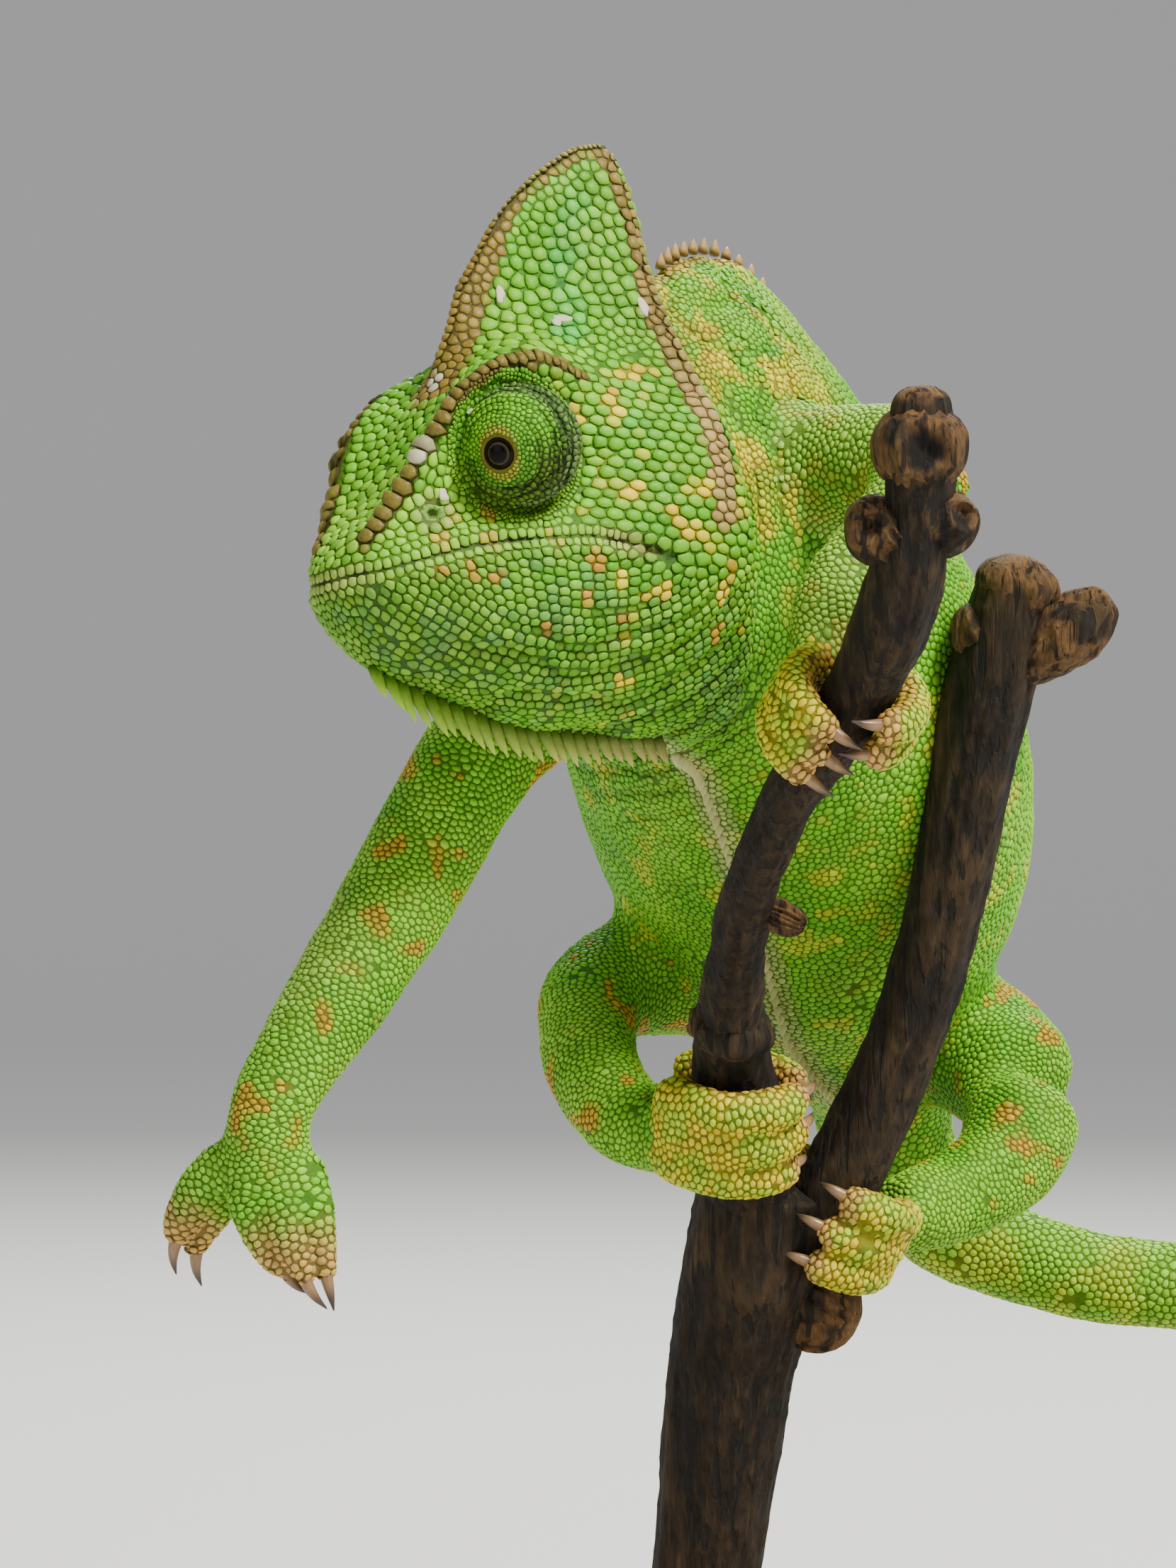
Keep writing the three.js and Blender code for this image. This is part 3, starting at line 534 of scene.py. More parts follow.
def toes_of(limb):
    """Each toe of a limb as its line and radii."""
    if "open" in limb:
        return [(np.array(points, float), OPEN_TOE_RADII) for points in limb["open"]]
    return [toe for which in ("inner", "outer") for toe in gripping_toes(**limb["grip"], **limb[which])]


TOES = {name: [(points + STUDY_AT, radii) for points, radii in toes_of(limb)] for name, limb in LIMBS.items()}


def trunk_line(t, up):
    """Places along the trunk's ridge or its keel, with the ways out and back there."""
    place, forward, _, top = frame_along(TRUNK["points"], TRUNK["lean"], t)
    reach = TRUNK["up"](t) if up else -TRUNK["down"](t)
    return place + top * reach[:, None], top * (1 if up else -1), forward


def flesh_forms():
    """Every form of the flesh as (part, grid of rings)."""
    yield "head", head_grid()
    yield "trunk", loft(**TRUNK, peak=1.9, along=110, around=90)
    yield "tail", loft(tail_points(), TAIL_RADII, lean=(0.05, 1, 0.02), ends=0.02, along=260, around=28)
    for name, limb in LIMBS.items():
        points = np.array(limb["points"]) + STUDY_AT
        joint = limb.get("joint")
        stretches = [slice(0, joint + 1), slice(joint, None)] if joint else [slice(None)]
        for some in stretches:
            yield name, loft(points[some], evenly(limb["radii"][some]), ends=0.12, along=60, around=36)
        for points, radii in TOES[name]:
            yield "toes_" + name, loft(points, evenly(radii), ends=0.14, along=24, around=20)


# ======== One skin over all of the flesh ========
TOE_PARTS = ["toes_" + name for name in LIMBS]
PARTS = ["head", "trunk", "tail", *LIMBS, *TOE_PARTS]
EYE_AT = (0, EYE_SIDE, 0)
VOXEL = 0.8
COAT_DEPTH = 0.3  # the scales' height, by which the skin lies inside the solids


def is_in(part, *names):
    """True where the part is one of the named ones."""
    return np.isin(part, [PARTS.index(name) for name in names])


def from_pair(place, spot):
    """Each place's distance from a spot on the head's left side, or on the right side from its mirror image."""
    x, y, z = place.T
    return np.linalg.norm(np.stack([x - spot[0], np.abs(y) - spot[1], z - spot[2]]), axis=0)


def grown_together(points, faces, voxel):
    """The shells remade as one closed surface of even squares, by Blender's voxel remesh."""
    mesh = mesh_from("flesh", points, faces)
    lump = in_scene("flesh", mesh)
    remesh = lump.modifiers.new("voxels", "REMESH")
    remesh.mode = "VOXEL"
    remesh.voxel_size = voxel * MM
    made = lump.evaluated_get(bpy.context.evaluated_depsgraph_get()).to_mesh()
    place = np.empty(len(made.vertices) * 3, np.float32)
    made.vertices.foreach_get("co", place)
    corner = np.empty(len(made.loops), np.int32)
    made.loops.foreach_get("vertex_index", corner)
    bpy.data.objects.remove(lump)
    bpy.data.meshes.remove(mesh)
    return place.reshape(-1, 3).astype(float) / MM, corner.reshape(-1, 4)


def edges_of(quads):
    """Each edge once, as a pair of vertex numbers."""
    pairs = np.vstack([quads[:, [k, (k + 1) % 4]] for k in range(4)])
    return np.unique(np.sort(pairs, axis=1), axis=0)


def relaxed(points, edges, strength, rounds):
    """Each vertex moved towards the middle of its neighbours, by its own strength, several times over."""
    degree = np.bincount(edges.ravel(), minlength=len(points))[:, None]
    one, other = edges.T
    for _ in range(rounds):
        total = np.zeros_like(points)
        for axis in range(points.shape[1]):
            total[:, axis] = np.bincount(one, points[other, axis], len(points))
            total[:, axis] += np.bincount(other, points[one, axis], len(points))
        points = points + strength[:, None] * (total / degree - points)
    return points


SOFTENING = {"head": 0.16, "trunk": 0.5, "tail": 0.3}  # smoothing strength by part
LIMB_SOFTENING, TOE_SOFTENING = 0.3, 0.04
SOFT_ROUNDS = 22


def part_of_skin(points, sources, source_part):
    """For each skin point the part of the form nearest to it, and how mixed the parts are around it."""
    i, j, _ = near_pairs(points, sources, 3.2)
    part = np.zeros(len(points), int)
    which, first = np.unique(i, return_index=True)
    part[which] = source_part[j[first]]
    kinds = sum(np.bincount(i[source_part[j] == k], minlength=len(points)) > 0 for k in range(len(PARTS)))
    return part, kinds > 1


MOUTH_LINE = curve([[22, -9.8], [18, -9.9], [13.8, -9.6], [9.2, -9.4], [3.9, -9.7], [-0.8, -10.3], [-5.4, -11.1],
                    [-8.6, -12.3], [-12, -13.6], [-14.5, -15], [-20, -18]])
NOSTRIL = (10.9, 7.2, -5.3)
JAW_ROWS_AT, FRONT_CENTRE, REAR_CENTRE = -9.0, 10.0, -4.0


def jaw_row(x, z):
    """How far down the jaw's arcs a place lies: the distance from a centre above the mouth's corner in front of
    it, and behind it from a lower centre, with the two centres' gap added."""
    front = np.hypot(x - JAW_ROWS_AT, z - FRONT_CENTRE)
    rear = np.hypot(x - JAW_ROWS_AT, z - REAR_CENTRE) + FRONT_CENTRE - REAR_CENTRE
    return np.where(x > JAW_ROWS_AT, front, rear)


def jaw_creases(points):
    """1 at the bottom of each fold of the jaw's and throat's loose skin, which run along the arcs."""
    x, _, z = to_head(points).T
    loose = smooth_step(16, 8, x) * smooth_step(-16, -20, z) * smooth_step(-40, -30, x) * smooth_step(-52, -42, z)
    phase = jaw_row(x, z) / 3.1 + 0.9 * noise(points, 6, 3)
    return loose * np.exp(-((np.sin(np.pi * phase) / 0.55) ** 2))


def carved(points, part):
    """How far each point of the skin is pushed out: rims, slits and folds, as bells and waves of the place."""
    place = to_head(points)
    x, y, z = place.T
    on_head = is_in(part, "head").astype(float)
    away = from_pair(place, EYE_AT)
    orbit = -0.6 * bump_at(away, 6.9, 0.6) + 0.3 * bump_at(away, 7.8, 0.5) - 0.25 * bump_at(away, 8.7, 0.45)
    past = z - MOUTH_LINE(x)
    slit = -0.4 * bump_at(past, 0, 0.38) * smooth_step(19, 9, x)
    mouth = slit + 0.35 * bump_at(past, 1.2, 0.9) + 0.3 * bump_at(past, -1.3, 0.9)
    mouth = mouth * smooth_step(-19, -11, x) - 0.5 * bump_at(past, 0, 0.7) * bump_at(x, -13, 2.5)
    away = from_pair(place, NOSTRIL)
    nostril = -1.3 * bump_at(away, 0, 0.75) + 0.35 * bump_at(away, 1.7, 0.7)
    from_ridge = np.hypot(np.abs(y) - HEAD["ridge"](x), z - HEAD["ridgeZ"](x))
    brow = 0.4 * bump_at(from_ridge, 0, 1.3) * smooth_step(-14, -10, x)
    head = on_head * (orbit + mouth + nostril + brow)

    # Folds of loose skin run along the jaw and round the neck.
    neck = smooth_step(-27, -33, x) * smooth_step(-70, -50, x) * smooth_step(-20, -12, z)
    ring_way = (x * 0.95 + z * 0.25) / 5.2 + 2.2 * (noise(points, 7, 3) - 0.5)
    soft = is_in(part, "head", "trunk")
    rings = np.exp(-((np.sin(np.pi * ring_way) / 0.42) ** 2))
    folds = -0.6 * soft * jaw_creases(points) - 0.6 * soft * neck * rings

    body = 1 - on_head
    lumps = 0.5 * (noise(points, 8, 5) - 0.5) + 0.25 * (noise(points, 3.2, 6) - 0.5)
    return head + folds + body * lumps + between_toes(points, part)


def between_toes(points, part):
    """A crease where two toes lie side by side: a bell of the difference between the distances to the two
    nearest toes' lines, deeper towards their tips."""
    on_toes = np.flatnonzero(is_in(part, *TOE_PARTS))
    every = [line for toes in TOES.values() for line, _ in toes]
    distance = np.full((len(every), len(on_toes)), 9.0)
    share = np.linspace(0, 1, 25)
    reach = np.zeros_like(distance)
    for number, line in enumerate(every):
        i, j, away = near_pairs(points[on_toes], path(line)(share), 9.0)
        which, first = np.unique(i, return_index=True)
        distance[number, which] = away[first]
        reach[number, which] = share[j[first]]
    order = np.argsort(distance, axis=0)[:2]
    near, second = np.take_along_axis(distance, order, 0)
    along = np.take_along_axis(reach, order[:1], 0)[0]
    push = np.zeros(len(points))
    push[on_toes] = -0.65 * bump_at(second - near, 0, 0.7) * smooth_step(0.2, 0.8, along)
    return push


def make_skin():
    """The whole flesh as one surface: grown together, softened most where parts meet, drawn in by the depth
    of the coat, and carved."""
    forms = [(part, grid) for part, grid in flesh_forms()]
    points, quads = grown_together(*together([shell(grid) for _, grid in forms]), VOXEL)
    sources = np.vstack([grid[::2, ::2].reshape(-1, 3) for _, grid in forms])
    source_part = np.concatenate([np.full(grid[::2, ::2, 0].size, PARTS.index(name)) for name, grid in forms])
    part, mixed = part_of_skin(points, sources, source_part)
    by_part = [SOFTENING.get(name, TOE_SOFTENING if name.startswith("toes") else LIMB_SOFTENING) for name in PARTS]
    edges = edges_of(quads)
    toes = np.array([name.startswith("toes") for name in PARTS])[part]
    strength = np.where(mixed & ~toes, 0.5, np.array(by_part)[part])
    strength = relaxed(strength[:, None], edges, np.full(len(points), 0.5), 6)[:, 0]
    points = relaxed(points, edges, strength, SOFT_ROUNDS)
    normals = vertex_normals(points, [quads])
    points = points + normals * (carved(points, part) - COAT_DEPTH)[:, None]
    points = relaxed(points, edges, np.full(len(points), 0.15), 2)
    return points, quads, part, vertex_normals(points, [quads])


# ======== Markings and painted shade: the same colours for the bare skin and for every scale on it ===
LIME = np.array([0.155, 0.51, 0.002])
LEAF = np.array([0.065, 0.31, 0.004])
PALE_GREEN = np.array([0.32, 0.64, 0.03])
TEAL = np.array([0.02, 0.44, 0.05])
AQUA = np.array([0.09, 0.62, 0.11])
OLIVE = np.array([0.11, 0.15, 0.012])
YELLOW = np.array([0.78, 0.62, 0.015])
ORANGE = np.array([0.60, 0.26, 0.012])
TAN = np.array([0.46, 0.25, 0.075])
BROWN = np.array([0.15, 0.075, 0.032])
CREAM = np.array([0.64, 0.60, 0.28])
PINK = np.array([0.55, 0.32, 0.17])
SLATE = np.array([0.09, 0.19, 0.10])
WHITISH = np.array([0.60, 0.52, 0.38])


def tinted(colour, other, amount):
    """The colours mixed towards another by an amount from 0 to 1 at each place."""
    return colour + (other - colour) * np.clip(amount, 0, 1)[:, None]


def layered(colour, layers):
    """The colours with each layer of (colour, amount) mixed in, one after the other."""
    for other, amount in layers:
        colour = tinted(colour, other, amount)
    return colour


def blotch(points, size, seed, share, edge=0.12):
    """1 in patches that cover about the given share of the surface, with soft edges."""
    level = 0.5 * noise(points, size, seed) + 0.5 * noise(points, size * 0.45, seed + 50)
    threshold = 0.5 + 0.42 * (0.5 - share)
    return smooth_step(threshold - edge / 2, threshold + edge / 2, level)


def from_line(place, line, reach=4.0):
    """Each place's least distance from a line or from its mirror image on the head's other side."""
    folded = place * (1, 0, 1) + np.abs(place) * (0, 1, 0)
    return least_distance(folded, line(np.linspace(0, 1, 200)), reach)


def from_spine(points, up):
    """Each place's least distance from the trunk's ridge, or from its keel."""
    return least_distance(points, trunk_line(np.linspace(0, 1, 300), up)[0], 4.0)


TIPS = np.array([points[-1] for toes in TOES.values() for points, _ in toes])
# Patches on the sides of the head: place forward and up, then half their length and height.
YELLOW_PATCHES = ((-19.3, 5.4, 1.9, 1.1), (-13.6, 2.4, 1.1, 1.2), (-9, 2.1, 0.9, 1.0), (-11.8, -7, 1.9, 1.0),
                  (-20.4, -8.7, 1.7, 1.0), (-16.1, -10.2, 1.0, 1.5), (-17.3, -13.1, 1.6, 0.9), (-5.4, -7.9, 1.2, 0.8),
                  (-7.5, -16.2, 0.9, 1.2), (-11.9, -18.2, 2.0, 1.0), (-8.5, -27, 1.5, 0.8), (-21, -20, 0.8, 1.4))
ORANGE_PATCHES = ((-4.9, -13.4, 0.8, 1.4), (-3.2, -16.8, 0.8, 0.9), (-7.2, -20.1, 1.2, 0.8), (9.3, -6.2, 0.7, 0.9),
                  (11.6, -8.3, 0.7, 0.8), (5.2, -6.4, 0.6, 1.5), (6.6, -9.3, 0.7, 1.3), (9.8, -11.2, 0.7, 1.3),
                  (7.3, -13.3, 0.9, 0.7), (-0.7, -10.6, 0.7, 1.7), (13.3, -11.2, 0.5, 0.7), (-20.2, -24.3, 0.9, 1.1),
                  (-22.5, -17.8, 0.7, 1.3), (-23.4, -10.9, 0.9, 1.2), (-14.3, 3.9, 0.9, 0.7), (2, -19.5, 0.8, 0.6))


def facing_twig(points):
    """1 on the sides of the gripping toes that face what they hold: nearer its axis than the toes' own line."""
    inner = np.zeros(len(points))
    for limb in LIMBS.values():
        if "grip" in limb:
            gap = points - np.array(limb["grip"]["centre"]) - STUDY_AT
            away = lengths(np.cross(gap, unit(np.array(limb["grip"]["axis"]))))
            near = smooth_step(18, 15, lengths(gap))
            inner = np.maximum(inner, near * smooth_step(0.7, -0.9, away - limb["grip"]["reach"]))
    return inner


def in_patches(place, patches, ragged):
    """1 inside oval patches on either side of the head, with ragged edges."""
    x, z, long, high = np.array(patches).T
    away = np.hypot((place[:, :1] - x) / long, (place[:, 2:] - z) / high).min(axis=1)
    return smooth_step(1.15, 0.85, away + ragged)


def head_layers(points, place, head, wander):
    """A blue-green streak down the casque and a haze of it on the cheek, with yellow and orange patches, pale
    lips, painted shade in olive below the mouth at the front of the jaw, and painted shade in olive under the
    eye, round the turret's lower side."""
    x, _, z = place.T
    past = z - MOUTH_LINE(x)
    jaw = head * smooth_step(-0.5, -3, past)
    ragged = 1.6 * (noise(points, 1.3, 10) - 0.5)
    streak = smooth_step(2.8, 1.1, from_line(place, teal_line) + 1.5 * wander)
    behind = head * smooth_step(-17, -22, x) * smooth_step(6, 11, z)
    haze = head * bump_at(np.hypot(x + 15, z + 2), 0, 8)
    flecks = head * smooth_step(2, -6, x) * smooth_step(8, 4, z)
    snout_side = head * smooth_step(3, 9, x) * smooth_step(-9, -6, z) * smooth_step(3, -2, z)
    lips = head * bump_at(past, -0.2, 1.4) * smooth_step(-13, -9, x)
    corner = head * bump_at(past, 0, 1.4) * (bump_at(x, -9, 3.5) + 0.6 * smooth_step(17, 21, x))
    under_eye = head * bump_at(from_pair(place, EYE_AT), 7.2, 1.2) * smooth_step(1.5, -3.5, z + 0.4 * x)
    return [
        (AQUA * 0.75 + TEAL * 0.25, 0.85 * head * streak),
        (AQUA, 0.4 * haze * blotch(points, 4, 8, 0.5, 0.3)),
        (PALE_GREEN * 0.5 + SLATE * 0.6, 0.4 * behind),
        (LEAF * 1.1, 0.3 * head * smooth_step(9, 14, z)),
        (LEAF * 0.9 + OLIVE * 0.2, 0.5 * jaw),
        # painted shade: olive below the mouth at the front of the jaw
        (OLIVE * 0.7 + LEAF * 0.2, 0.6 * head * smooth_step(1, -2, past) * smooth_step(-3, 14, x)),
        (SLATE * 0.8 + AQUA * 0.15, 0.45 * jaw * blotch(points, 3.2, 9, 0.35)),
        (YELLOW * 0.85 + ORANGE * 0.2, 0.95 * head * in_patches(place, YELLOW_PATCHES, ragged)),
        (ORANGE * 0.95 + PINK * 0.05, 0.8 * head * in_patches(place, ORANGE_PATCHES, ragged)),
        (YELLOW, 0.6 * flecks * blotch(points, 2.4, 12, 0.03)),
        (PALE_GREEN * 0.9, 0.4 * snout_side),
        (PALE_GREEN * 0.8 + CREAM * 0.12, 0.55 * lips),
        (PINK * 0.8, 0.65 * corner),
        # painted shade: olive in the groove round the turret's lower side
        (OLIVE, 0.7 * under_eye),
    ]


def band_layers(place, head, wander):
    """Brown bands along the casque's front edge, the brow and the casque's rear edge, pale skin round the
    nostrils, and painted shade along the slit of the mouth."""
    x, _, z = place.T
    crest, brow = from_line(place, crest_line, 5.0), from_line(place, brow_line)
    rim = from_line(place, lambda t: casque_edge(t) + (0.9, 0.2, 0))
    bands = [head * smooth_step(0.3, -0.3, away + wander - wide) for away, wide in (
        (crest, 2.2 + 1.8 * smooth_step(28, 15, z)), (brow, 1.35), (rim, 1.1 + 0.9 * smooth_step(22, 12, z)))]
    slit = head * bump_at(z - MOUTH_LINE(x), 0, 0.3) * smooth_step(-18, -12, x)
    return [
        (BROWN * 0.5 + ORANGE * 0.24 + TAN * 0.06, 0.92 * bands[0]),
        (BROWN * 0.6 + ORANGE * 0.12, 0.92 * bands[1]),
        (BROWN * 0.5 + ORANGE * 0.2 + PINK * 0.12, 0.92 * bands[2]),
        (TAN * 0.8 + CREAM * 0.3, 0.6 * bands[2] * smooth_step(12, -4, z)),
        (OLIVE * 0.8 + TAN * 0.3, 0.75 * head * smooth_step(2.6, 1.2, crest) * smooth_step(22, 30, z)),
        (CREAM * 0.42 + TAN * 0.12, 0.75 * head * bump_at(from_pair(place, NOSTRIL), 1.2, 1.0)),
        # painted shade: near black along the mouth's slit between the lips
        (BROWN * 0.15, 0.97 * slit),
    ]


def trunk_layers(points, place, trunk):
    """Yellow and orange patches behind the casque, tan along the front of the back, and a pale belly."""
    x, _, z = place.T
    shoulders = trunk * smooth_step(-66, -44, x)
    ridge, keel = from_spine(points, True), from_spine(points, False)
    return [
        (YELLOW, shoulders * 0.9 * blotch(points, 7, 14, 0.24) * smooth_step(-30, -12, z)),
        (ORANGE, shoulders * 0.5 * blotch(points, 5, 15, 0.16) * smooth_step(-20, 0, z)),
        (YELLOW, trunk * 0.4 * blotch(points, 4.2, 16, 0.12)),
        (TAN, trunk * 0.8 * smooth_step(3.2, 1.6, ridge) * smooth_step(-150, -60, x)),
        (CREAM * 0.8, trunk * 0.55 * smooth_step(3.0, 1.0, keel)),
    ]


def limb_layers(points, part, wander):
    """Brighter rings and orange-brown spots on legs and tail; the toes yellow where they grip, tan at their
    ends."""
    are = lambda *names: is_in(part, *names).astype(float)
    tail, limbs, toes = are("tail"), are(*LIMBS, *TOE_PARTS), are(*TOE_PARTS)
    arms, gripping = are("fore_left", "fore_right"), are("toes_fore_left", "toes_hind_left", "toes_hind_right")
    from_tip = least_distance(points, TIPS, 9.0)
    tip = smooth_step(8.4 - 4.4 * gripping, 3.2 - gripping, from_tip + 2.5 * wander)
    return [
        (PALE_GREEN, limbs * 0.35 * blotch(points, 9, 18, 0.5, 0.3)),
        (ORANGE, (limbs - toes) * 0.8 * blotch(points, 4.6, 19, 0.12)),
        (PALE_GREEN * 0.8 + CREAM * 0.2, arms * 0.6 * smooth_step(0.45, 0.6, noise(points, 20, 24))),
        (PALE_GREEN * 0.6 + YELLOW * 0.3 + ORANGE * 0.15, 0.75 * gripping),
        (YELLOW * 0.7 + ORANGE * 0.45, gripping * 0.8 * blotch(points, 2.6, 20, 0.5, 0.3)),
        (PINK * 0.55 + ORANGE * 0.5, 0.9 * toes * tip),
        (ORANGE * 0.55 + TAN * 0.35, 0.8 * gripping * facing_twig(points)),
        (YELLOW, tail * 0.55 * blotch(points, 6, 21, 0.35)),
        (PALE_GREEN, tail * 0.5),
    ]


def markings_and_painted_shade(points, part):
    """The animal's colour at each place: green, with the layers of its parts over it, a few of them painted shade."""
    place = to_head(points)
    head, trunk = is_in(part, "head").astype(float), is_in(part, "trunk").astype(float)
    wander = 0.9 * (noise(points, 1.6, 13) - 0.5)
    return layered(np.tile(LIME, (len(points), 1)), [
        (LEAF, 0.6 * blotch(points, 16, 1, 0.4, 0.3)),
        (PALE_GREEN, 0.45 * blotch(points, 11, 2, 0.35, 0.3)),
        *head_layers(points, place, head, wander),
        # painted shade: darker in the bottoms of the jaw's and throat's folds
        (OLIVE * 0.35, 0.6 * (head + trunk) * jaw_creases(points)),
        *band_layers(place, head, wander),
        *trunk_layers(points, place, trunk),
        *limb_layers(points, part, wander),
    ])


PALE_KNOBS = ((0.9, 0.9, 9.4), (1.9, 0.3, 8.6), (11.4, 7.9, 1.7))  # where the casque starts, and on the brow


def pale_knobs(points, part):
    """1 at the few whitish scales on the head's left side."""
    place = to_head(points)
    distance = np.linalg.norm(place[:, None] - np.array(PALE_KNOBS)[None], axis=2).min(axis=1)
    return is_in(part, "head") * smooth_step(1.3, 0.9, distance)


# ======== Scales ========
GROOVE = 0.05  # between neighbouring scales, at the skin
jaw_scale = curve([[22, 0.66], [29, 0.61], [37, 0.51], [46, 0.42]])


def scale_radius(points, part):
    """Half the spacing of the scales at each place: large shields on casque and cheek, middling ones on the
    jaw, fine grains round the eye, in the bands and in the folds, small ones on the body."""
    place = to_head(points)
    x, y, z = place.T
    back = smooth_step(-12, -8, x)
    casque = smooth_step(9 - 3.5 * back, 13 - 4 * back, z) * smooth_step(4, -3, x)
    cheek = smooth_step(-1, -8, x) * smooth_step(8, 2, z) * smooth_step(-2, 1, z - MOUTH_LINE(x))
    snout = smooth_step(0, 4, x) * smooth_step(0.5, -0.5, np.abs(y) - HEAD["ridge"](x)) * smooth_step(-9, -6, z)
    head = 0.60 + 0.32 * casque + 0.24 * cheek + 0.2 * snout
    head = head - 0.26 * smooth_step(4.6, 3.4, from_line(place, crest_line, 5.0)) * casque
    jaw = smooth_step(0.5, -2, z - MOUTH_LINE(x))
    head = head * (1 - jaw) + jaw_scale(jaw_row(x, z)) * jaw
    head = head * (0.48 + 0.52 * smooth_step(7.2, 9.6, from_pair(place, EYE_AT)))
    body = 0.53 - 0.06 * smooth_step(-66, -50, x)
    body = np.where(is_in(part, *LIMBS), 0.43, body)
    body = np.where(is_in(part, "tail", *TOE_PARTS), 0.52, body)
    return np.where(is_in(part, "head"), head, body)


def in_rows(place, part):
    """Where the head's scales lie in rows: 1 on the jaw, 2 on the cheek, 0 elsewhere."""
    x, y, z = place.T
    head = is_in(part, "head")
    past = z - MOUTH_LINE(x)
    away = from_pair(place, EYE_AT)
    jaw = head & (past < -1.6) & (np.abs(y) > 2.5)
    cheek = head & (past > 1.6) & (x < -7) & (x > -25.5) & (z < 9) & (away > 9.2)
    return np.where(jaw, 1, np.where(cheek, 2, 0))


CHEEK_WAY = unit(np.array([-1.0, 0.0, -0.28]))


def limb_lines():
    """Places along the lines of all legs and toes, and the way each runs there."""
    share = np.linspace(0.02, 0.98, 40)
    lines = [path(np.array(limb["points"]) + STUDY_AT) for limb in LIMBS.values()]
    lines += [path(points) for toes in TOES.values() for points, _ in toes]
    return (np.vstack([line(share) for line in lines]),
            np.vstack([unit(line(share + 0.02) - line(share - 0.02)) for line in lines]))


def lie_of(points, normals, part):
    """Which way the scales lie, and how much longer than broad they are: along the jaw's arcs, back and a
    little down on the cheek, round the legs and toes, and as broad as long elsewhere."""
    place = to_head(points)
    x, _, z = place.T
    jaw = smooth_step(0.5, -2, z - MOUTH_LINE(x))[:, None]
    centre = np.where(x > JAW_ROWS_AT, FRONT_CENTRE, REAR_CENTRE)
    arc = unit(np.stack([z - centre, 0 * x, JAW_ROWS_AT - x], -1))
    way = (arc * jaw + CHEEK_WAY * (1 - jaw)) @ HEAD_WAYS
    on_cheek = smooth_step(-3, -8, x) * smooth_step(11, 5, z) * smooth_step(8, 10, from_pair(place, EYE_AT))
    longer = 1 + (0.45 * on_cheek * (1 - jaw[:, 0]) + 0.4 * jaw[:, 0]) * is_in(part, "head")
    legs = np.flatnonzero(is_in(part, *LIMBS, *TOE_PARTS))
    places, runs = limb_lines()
    line = np.maximum(nearest(points[legs], places, 11.0), 0)
    way[legs] = unit(np.cross(runs[line], normals[legs]))
    longer[legs] = 1.3
    return way, longer


def rows_of_seeds(skin):
    """Seeds in rows on both sides of the head: half-stepped arcs on the jaw and half-stepped straight rows on
    the cheek, laid out on the head's side plane and carried straight in to the skin."""
    layouts = []
    longer, arc, number = math.sqrt(1.4), 19.0, 0
    while arc < 48:
        r = float(jaw_scale(arc))
        along = np.arange(-1.9 * (arc - 14), 1.3 * arc, 2 * r * longer) + (number % 2) * r * longer
        near = np.where(along > 0, arc, arc - (FRONT_CENTRE - REAR_CENTRE))
        centre = np.where(along > 0, FRONT_CENTRE, REAR_CENTRE)
        layouts.append((1, JAW_ROWS_AT + near * np.sin(along / near), centre - near * np.cos(along / near)))
        arc, number = arc + math.sqrt(3) * r / longer, number + 1
    r, longer = 0.82, math.sqrt(1.45)
    for number, down in enumerate(np.arange(-26, 26, math.sqrt(3) * r / longer)):
        along = np.arange(-30, 30, 2 * r * longer) + (number % 2) * r * longer
        x = -15 + along * CHEEK_WAY[0] - down * CHEEK_WAY[2]
        layouts.append((2, x, along * CHEEK_WAY[2] + down * CHEEK_WAY[0]))
    which = np.concatenate([np.full(len(x), kind) for kind, x, _ in layouts])
    x = np.concatenate([x for _, x, _ in layouts])
    z = np.concatenate([z for _, _, z in layouts])
    flat = np.stack([x, 0 * x, z], -1)
    place = to_head(skin["points"])
    turned = skin["normals"] @ HEAD_WAYS.T
    found = []
    for hand in (1, -1):
        sideways = np.flatnonzero(is_in(skin["part"], "head") & (hand * turned[:, 1] > 0.3))
        vertex = nearest(flat, place[sideways] * (1, 0, 1), 1.0)
        good = vertex >= 0
        seeds = flat[good] + place[sideways[vertex[good]]] * (0, 1, 0)
        kind = in_rows(seeds, np.zeros(len(seeds), int))
        found.append(seeds[kind == which[good]])
    found = np.vstack(found)
    loosely = np.where(found[:, 2:] > MOUTH_LINE(found[:, :1]), 0.2, 0.09)
    return from_head(found + CHANCE.normal(0, 1, found.shape) * loosely)


EDGE_GAP = 0.66  # further than this from its nearest vertex, a point hangs past an edge of the skin


def onto_skin(points, skin, reach=2.0):
    """Each point dropped onto the plane that touches the skin at its nearest vertex, or close to that vertex
    where it would hang past an edge. Gives the points, the directions out of the skin and the vertices'
    numbers; points out of reach stay."""
    vertex = nearest(points, skin["points"], reach)
    normal = skin["normals"][vertex]
    gap = points - skin["points"][vertex]
    gap = gap - normal * dots(gap, normal)[:, None]
    past = lengths(gap)[:, None]
    gap = np.where(past > EDGE_GAP, gap * 0.2 / np.maximum(past, 0.1), gap)
    return np.where(vertex[:, None] >= 0, skin["points"][vertex] + gap, points), normal, vertex


